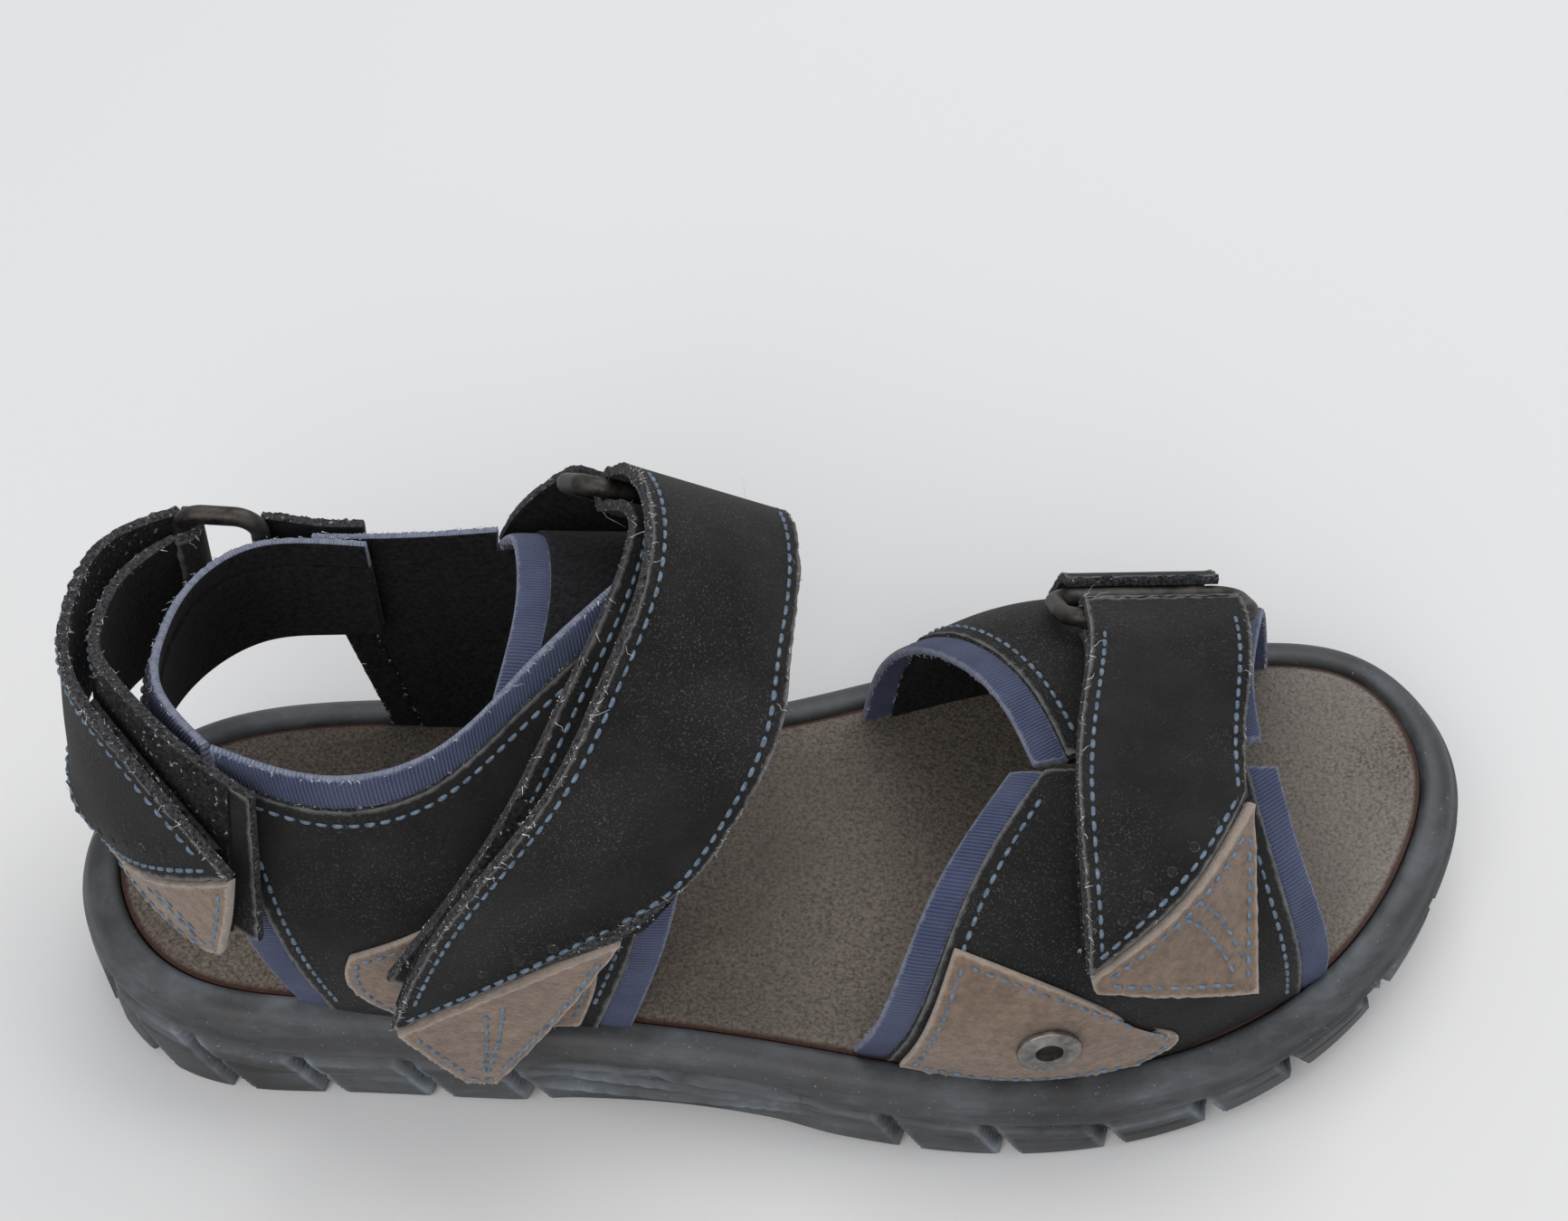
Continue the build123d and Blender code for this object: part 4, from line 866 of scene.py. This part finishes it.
half = upper["nubuck"] / 2 + 0.05
panelRows = (
    ("outerQuarter", "high", 3.2, (0.02, 0.02)), ("outerQuarter", "start", 3.0, (0.12, 0.06)),
    ("outerQuarter", "end", 3.0, (0.1, 0.06)), ("heelBand", "high", 2.8, (0.02, 0.02)),
    ("heelBand", "low", 2.8, (0.02, 0.02)), ("innerQuarter", "high", 3.0, (0.02, 0.02)),
    ("innerQuarter", "start", 3.0, (0.12, 0.05)), ("innerQuarter", "end", 3.0, (0.12, 0.1)),
    ("outerVamp", "start", 3.4, (0.08, 0.05)), ("outerVamp", "end", 3.4, (0.08, 0.05)),
    ("innerVamp", "start", 3.2, (0.08, 0.05)), ("innerVamp", "end", 3.2, (0.08, 0.05)))
for name, side, inset, trim in panelRows:
    sew("root", alongEdge(skinNets[name], side, inset, half, trim))
for side in ("low", "high"):
    path, normals = alongEdge(skinNets["throat"], side, 3.0, -half, (0.02, 0.02))
    sew("root", (path, -normals))
    frayEdge("root", skinNets["heelBand"], side, 0.0, (0.02, 0.02), inset=0.2, perCm=9)
print("upper built")


# brown patches
def region(name, rows):
    grid, _ = sheetGrid(rails[name], 0.0, 81, 41)
    at = lambda u, v: grid[int(round(u * 80)), int(round(v * 40))]
    return [[at(u, v) for u, v in row] for row in rows]


patches = {
    "quarterPatch": ("outerQuarter", [[(0.26, 0.1), (0.5, 0.06), (0.92, 0.06)],
                                      [(0.14, 0.3), (0.45, 0.32), (0.85, 0.32)],
                                      [(0.17, 0.44), (0.34, 0.56), (0.55, 0.62)]], "lateral_suede_patch"),
    "eyeletPatch": ("outerVamp", [[(0.03, 0.05), (0.3, 0.03), (0.58, 0.05)], [(0.03, 0.26), (0.3, 0.22), (0.66, 0.14)],
                                  [(0.03, 0.5), (0.3, 0.42), (0.58, 0.25)]], "eyelet_patch"),
}
patchNets = {}
for name, (panel, rows, cadNode) in patches.items():
    patchNets[name] = sheetGrid(region(panel, rows), patchLift, 50, 30)
    patch = ply(name, patchNets[name], upper["patch"], [suedeMat] * 3, ruffle=0.12)
    settle(patch, "root", cadNode, slot="brown_suede")
    top = upper["patch"] / 2 + 0.05
    for side in ("low", "high", "start", "end"):
        sew("root", alongEdge(patchNets[name], side, 2.2, top, (0.06, 0.06)))
        frayEdge("root", patchNets[name], side, 0.2, perCm=10, length=(0.3, 0.9))
print("patches built")


# straps with their rings
strap = {"thick": 2.2, "wire": 4.0, "wrapGap": 0.35, "pitch": 16.0, "pad": 1.0, "tab": 2.0, "turnSteps": 18}
wrapMiddle = strap["wire"] / 2 + strap["wrapGap"] + strap["thick"] / 2
padLift = strap["thick"] / 2 + 0.2 + strap["pad"] / 2
strapTop = strap["thick"] / 2 + 0.05


def vec(*numbers):
    return np.array(numbers, float)


def ringFrame(bar, across, reach):
    x = unit(-across)
    z = unit(np.cross(-across, reach))
    return {"bar": vec(*bar) * mm, "x": x, "y": np.cross(z, x), "z": z}


def byBar(ring, out, away):
    return ring["bar"] + ring["z"] * out * mm + ring["y"] * away * mm


def edgesOf(centre, across, width):
    first = [c - unit(a) * width / 2 * mm for c, a in zip(centre, across)]
    second = [c + unit(a) * width / 2 * mm for c, a in zip(centre, across)]
    return first, second


def foldNet(ring, width):
    # the strap's turn round the ring's wire
    grid, normals = [], []
    for a in np.linspace(-0.12, pi + 0.12, strap["turnSteps"]):
        out = -ring["z"] * cos(a) - ring["y"] * sin(a)
        row = [ring["bar"] + out * wrapMiddle * mm + ring["x"] * s * width * mm for s in np.linspace(0.5, -0.5, 24)]
        grid.append(row)
        normals.append([out] * 24)
    grid, normals = np.array(grid), np.array(normals)
    if np.dot(np.cross(grid[1, 0] - grid[0, 0], grid[0, 1] - grid[0, 0]), normals[0, 0]) < 0:
        grid, normals = grid[:, ::-1], normals[:, ::-1]
    return grid, normals


instepAcross, forefootAcross, heelAcross = vec(0.87, 0.05, -0.48), vec(1, 0, -0.06), vec(0.06, -0.08, 1)
straps = {
    "instep": {
        "width": 36, "ring": ringFrame((87.5, 29, 99), instepAcross, vec(0.5, -0.64, 0.57)),
        "base": spots((41, -46, 46), (54, -45, 68), (68, -38, 89), (79, -24.5, 103.5), (88.5, -8, 112),
                      (92.5, 9, 111.5)),
        "baseAcross": [instepAcross] * 7, "barFirst": False,
        "flap": spots((92.5, 14.5, 117), (93.5, -1, 121), (91.5, -16, 119.5), (86.5, -30, 113.5), (78, -40.5, 101.5),
                      (66, -47.5, 86.5), (54, -51, 70)),
        "flapAcross": [instepAcross, vec(0.83, 0.05, -0.55), vec(0.74, 0.05, -0.66),
                       vec(0.72, 0.05, -0.68)] + [instepAcross] * 4,
        "seam": spots((25, -52.3, 45), (70, -52.3, 73)), "drop": (0, 1),
        "tip": [spots((26, -52.6, 43.4), (31, -52.6, 34), (37, -52, 22)),
                spots((70.4, -52.6, 71.4), (58, -52.6, 47), (43, -52, 21))],
        "tipLook": ((0.12, 0.45), (0.95, 0.5)),
        "loop": (0.05, 0.4), "hook": (0.7, 0.97), "tab": spots((70, 45.5, 78), (64, 47, 66)),
        "flapBend": (0, -14, 6), "baseBend": (5, -20, 12.5)},
    "forefoot": {
        "width": 33, "ring": ringFrame((184.5, 18, 70.5), forefootAcross, vec(0, -0.82, 0.57)),
        "base": spots((176, -27, 73.6), (177.5, -18, 74.6), (180, -7, 74.5), (183, 5, 73.2)),
        "baseAcross": [forefootAcross] * 5, "barFirst": False,
        "flap": spots((183, 4, 79.2), (179, -11, 80.8), (175.5, -26, 80.5), (173.5, -41, 77.5), (173.5, -52.5, 69.5)),
        "flapAcross": [forefootAcross] * 2 + [vec(1, 0, -0.12)] * 2 + [vec(1, 0, -0.2)] * 2,
        "seam": spots((158.5, -58.5, 59), (175.8, -51.0, 71.5), (191, -33, 78)), "drop": (0, 1, 2),
        "tip": [spots((160, -60, 55), (176.5, -59.5, 50.5), (193, -57.5, 46)),
                spots((159.2, -59, 58), (176.3, -51.7, 70.6), (191.7, -34.2, 77))],
        "tipLook": ((0.5, 0.93), (0.9, 0.12)),
        "loop": None, "hook": (0.6, 0.95), "tab": spots((184.5, 42, 53.5), (184.5, 47.5, 42)),
        "flapBend": (0, -12, 5), "baseBend": (-1.5, -13, 2.5)},
    "heel": {
        "width": 34, "ring": ringFrame((-16.5, 44.2, 71), heelAcross, vec(-1, 0.1, 0)),
        "base": spots((-25, 31.5, 73), (-29.5, 18.5, 77), (-29.5, 5, 80), (-25, -7, 83), (-17.5, -17.5, 84.5),
                      (-8, -29, 84), (4, -37.5, 80)),
        "baseAcross": [heelAcross] * 2 + [vec(0.14, -0.08, 1), vec(0.16, 0, 1)] + [vec(0.14, 0.16, 1)] * 2
        + [vec(0.1, 0.3, 1)] * 2,
        "barFirst": True,
        "flap": spots((-29.5, 37, 75.5), (-35.2, 20.5, 79), (-35.3, 5, 81), (-31, -9.5, 82.5), (-23, -22, 83)),
        "flapAcross": [heelAcross] * 2 + [vec(0.14, -0.08, 1), vec(0.16, 0, 1)] + [vec(0.14, 0.16, 1)] * 2,
        "seam": spots((-28.5, -16.5, 63), (-16.5, -33, 74.5), (1, -43.5, 87)), "drop": (1, 1, 0),
        "tip": [spots((-28.2, -17.3, 62.2), (-19.5, -30.5, 62.5), (-9.5, -42, 63)),
                spots((-16.2, -33.7, 73.8), (-11.5, -38.8, 68), (-7.5, -43.2, 63.6)),
                spots((1, -44.1, 86.4), (-1.3, -45.6, 76), (-4.5, -45.4, 65))],
        "tipLook": ((0.12, 0.4), (0.9, 0.6)),
        "loop": (0.55, 0.95), "hook": (0.6, 0.95), "tab": spots((9, 45.2, 68.5), (20, 45.2, 67)),
        "flapBend": (-13, -6, 1), "baseBend": (-8.5, -11.5, 2)},
}

for name, piece in straps.items():
    ring, width = piece["ring"], piece["width"]
    ringBody, flapBody = name + "_ring_body", name + "_flap_body"
    underBar, overBar = byBar(ring, -wrapMiddle, 1), byBar(ring, wrapMiddle, 1)
    # inner run, sewn down at its end
    centre = [underBar] + piece["base"] if piece["barFirst"] else piece["base"] + [underBar]
    baseRails = edgesOf(centre, piece["baseAcross"], width)
    baseRails = baseRails if piece["barFirst"] else baseRails[::-1]
    baseNet = sheetGrid(baseRails, 0.0, 90, 28)
    base = ply(name + "InnerRun", baseNet, strap["thick"], [strapMat, rawEdgeMat, liningMat], ruffle=0.15)
    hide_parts(name + "_base_strap")
    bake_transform(base)
    # outer run, its seam cut on the slant
    count = len(piece["seam"])
    flapLow, flapHigh = edgesOf([overBar] + piece["flap"], piece["flapAcross"], width)
    lines = [flapLow, flapHigh] if count == 2 else [flapLow, [overBar] + piece["flap"], flapHigh]
    flapRails = [(line[:-drop] if drop else line) + [end]
                 for line, drop, end in zip(lines, piece["drop"], piece["seam"])]
    flapNet = sheetGrid(flapRails, 0.0, 110, 30)
    flap = ply(name + "OuterRun", flapNet, strap["thick"], [strapMat, rawEdgeMat, pileMat], ruffle=0.18)
    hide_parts(name + "_flap")
    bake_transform(flap)
    # brown tip
    tipNet = sheetGrid(piece["tip"], 0.0, 30, 30)
    tip = ply(name + "Tip", tipNet, strap["thick"], [suedeMat, suedeMat, pileMat], ruffle=0.15)
    settle(tip, flapBody, name + "_flap_tip", slot="brown_suede")
    # the turn round the wire
    turnNet = foldNet(ring, width)
    turn = ply(name + "Turn", turnNet, strap["thick"], [strapMat, rawEdgeMat, liningMat], ruffle=0.15)
    settle(turn, ringBody, name + "_fold", slot="strap_nubuck")
    # tab that holds the ring
    over = strap["wire"] / 2 + strap["wrapGap"] + strap["tab"] / 2
    tabLine = [byBar(ring, over, -strap["pitch"]), byBar(ring, over, -strap["pitch"] - strap["wire"] / 2)]
    tabLine += piece["tab"]
    halfWidth = ring["x"] * width / 2 * mm
    tabNet = sheetGrid([[spot - halfWidth for spot in tabLine], [spot + halfWidth for spot in tabLine]], 0.0, 50, 26)
    tab = ply(name + "Tab", tabNet, strap["tab"], [nubuckMat, rawEdgeMat, liningMat], ruffle=0.15)
    settle(tab, "root", name + "_ring_tab", slot="strap_nubuck")
    tabTop = strap["tab"] / 2 + 0.05
    sew("root", onNet(tabNet, [(0.45, 0.15), (0.9, 0.15), (0.9, 0.85), (0.45, 0.85), (0.45, 0.15)], tabTop))
    for side in ("low", "high", "end"):
        frayEdge("root", tabNet, side, 0.3, (0.02, 0.0), perCm=16)
    # the two halves of the fastener
    hookNet = sheetGrid(flapRails, -padLift, 60, 26, *piece["hook"])
    hook = ply(name + "Hook", hookNet, strap["pad"], [pileMat] * 3, ruffle=0.25)
    settle(hook, flapBody, name + "_hook_pad", slot="hook_and_loop")
    if piece["loop"]:
        loopNet = sheetGrid(baseRails, padLift, 60, 26, *piece["loop"])
    else:
        rows = [[(0.36, v), (0.55, v), (0.74 - (v - 0.5) * 0.08, v)] for v in (0.5, 0.62, 0.74)]
        loopLift = upper["plyGap"] / 2 + upper["nubuck"] + upper["padGap"] + strap["pad"] / 2
        loopNet = sheetGrid(region("outerVamp", rows), loopLift, 40, 26)
    loop = ply(name + "Loop", loopNet, strap["pad"], [pileMat] * 3, ruffle=0.35)
    settle(loop, "root", name + "_loop_pad", slot="hook_and_loop")
    # stitching down both edges, along the slanted seam and round the tip
    for side in ("low", "high"):
        sew(flapBody, alongEdge(flapNet, side, 3.0, strapTop, (0.14, 0.03)))
        sew("root", alongEdge(baseNet, side, 3.0, strapTop, (0.1, 0.14)))
        frayEdge(flapBody, flapNet, side, 0.0, (0.12, 0.0), perCm=46, length=(0.5, 1.8), spread=1.1)
        frayEdge("root", baseNet, side, 0.0, (0.04, 0.12), perCm=34, length=(0.5, 1.8), spread=1.1)
        frayEdge(ringBody, turnNet, side, 0.0, perCm=55, length=(0.6, 2.2), spread=1.0)
        # loose threads hang from the turn
        frayEdge(ringBody, turnNet, side, 0.0, perCm=5, length=(3.0, 8.0), spread=1.0)
    sew(flapBody, alongEdge(flapNet, "end", 2.4, strapTop, (0.05, 0.05)))
    frayEdge(flapBody, flapNet, "end", 0.4, perCm=16)
    for side in ("low", "high", "end"):
        sew(flapBody, alongEdge(tipNet, side, 2.4, strapTop, (0.08, 0.08)))
        frayEdge(flapBody, tipNet, side, 0.2, perCm=12, length=(0.3, 0.9))
    (u0, v0), (u1, v1) = piece["tipLook"]
    off = unit(np.array((v0 - v1, u1 - u0))) * 0.045
    for side in (-1, 1):
        du, dv = off * side
        sew(flapBody, onNet(tipNet, [(u0 + du, v0 + dv), (u1 + du, v1 + dv)], strapTop))
    # punched dots above the slanted seam
    for k in range(5):
        dotSpot, dotNormal = onNet(flapNet, [(0.93, 0.18 + 0.14 * k), (0.931, 0.18 + 0.14 * k)], strapTop, 2)
        dots.setdefault(flapBody, []).append((dotSpot[0], dotNormal[0], 0.75))
    print(name, "strap built")

# rings, eyelet and the layers inside the sole come from the frame
finishes = {"shank": steelMat, "insole_board": boardMat, "footbed_foam": foamMat, "eyelet": eyeletMat,
            "eyelet_washer": eyeletMat, "instep_ring": wireMat, "forefoot_ring": wireMat, "heel_ring": wireMat}
for cadNode, mat in finishes.items():
    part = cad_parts[cadNode]
    part.data.materials.clear()
    part.data.materials.append(mat)

for body, rows in runs.items():
    thread = makeStitches("stitching." + body, rows, stitchSize)
    settle(thread, body, slot="strap_nubuck")
# the eyelet's bore is a near-black disc laid at the patch surface, painted shade for the depth of the hole
eyeletMiddle, eyeletAxis = np.array((152.793, -56.6531, 33.6844)) * mm, np.array((0.008321, -0.997546, 0.069516))
patchGrid = patchNets["eyeletPatch"][0]
offAxis = np.linalg.norm(np.cross(patchGrid - eyeletMiddle, eyeletAxis), axis=2)
boreTop = patchGrid[np.unravel_index(offAxis.argmin(), offAxis.shape)] + eyeletAxis * (upper["patch"] / 2 + 0.15) * mm
boreTop = eyeletMiddle + eyeletAxis * np.dot(boreTop - eyeletMiddle, eyeletAxis)
settle(makeDots("eyeletBoreShade", [(boreTop, eyeletAxis, 2.9)], holeShadeMat), "root", slot="strap_nubuck")
# near-black discs in the punched dots are painted shade, with pale frayed rims round them
for body, places in dots.items():
    settle(makeDots("punchRims." + body, places, rawEdgeMat, 1.45, 0.05), body, slot="strap_nubuck")
    settle(makeDots("punchHoleShade." + body, places, holeShadeMat), body, slot="strap_nubuck")
for body, rows in frays.items():
    lint = makeFray("lint." + body, rows, lintMat)
    settle(lint, body, slot="strap_nubuck")
print("stitching and lint done")


# floor, light and camera
studio = {"floor": 3.0, "sky": (0.86, 0.88, 0.92), "skyStrength": 0.62, "key": 13, "fill": 17}


def makeFloor():
    mat, tree, shader = newMaterial("paleFloor")
    space = objectSpace(tree)
    tone = mixColour(tree, noise(tree, space, 1.2), (0.66, 0.665, 0.67), (0.71, 0.712, 0.712))
    tree.links.new(tone, shader.inputs["Base Color"])
    tree.links.new(bump(tree, noise(tree, space, 500, 3), 0.0001, 0.3), shader.inputs["Normal"])
    shader.inputs["Roughness"].default_value = 0.8
    side = studio["floor"]
    verts = [(-side, -side, 0), (side, -side, 0), (side, side, 0), (-side, side, 0)]
    return addMesh("floor", verts, [(0, 1, 2, 3)], [mat], [0])


def addSoftbox(name, place, target, size, power, colour):
    light = bpy.data.lights.new(name, "AREA")
    light.shape = "RECTANGLE"
    light.size, light.size_y = size
    light.energy = power
    light.color = colour
    lamp = bpy.data.objects.new(name, light)
    lamp.location = place
    lamp.rotation_euler = (Vector(target) - Vector(place)).to_track_quat("-Z", "Y").to_euler()
    bpy.context.scene.collection.objects.link(lamp)


makeFloor()
addSoftbox("keyLight", (0.5, 0.6, 1.5), (0.1, 0, 0.03), (1.4, 1.1), studio["key"], (1.0, 0.985, 0.96))
addSoftbox("fillLight", (-0.5, -1.3, 1.3), (0.1, -0.1, 0.03), (1.5, 1.3), studio["fill"], (1.0, 0.975, 0.95))
world = bpy.data.worlds.new("studio")
world.use_nodes = True
world.node_tree.nodes["Background"].inputs["Color"].default_value = (*studio["sky"], 1)
world.node_tree.nodes["Background"].inputs["Strength"].default_value = studio["skyStrength"]
bpy.context.scene.world = world
bpy.context.scene.view_settings.view_transform = "Standard"

view = {"place": (82.97, -281.76, 444.49), "right": (0.99722, -0.07453, 0.00217), "up": (0.05616, 0.76995, 0.63563),
        "forward": (0.04904, 0.63374, -0.77199), "lens": 53.55}
cameraData = bpy.data.cameras.new("camera")
cameraData.lens = view["lens"]
cameraData.sensor_width = 36
cameraData.clip_start = 0.02
camera = bpy.data.objects.new("camera", cameraData)
turn = Matrix((view["right"], view["up"], [-c for c in view["forward"]])).transposed()
camera.matrix_world = Matrix.Translation(Vector(view["place"]) * mm) @ turn.to_4x4()
bpy.context.scene.collection.objects.link(camera)
bpy.context.scene.camera = camera
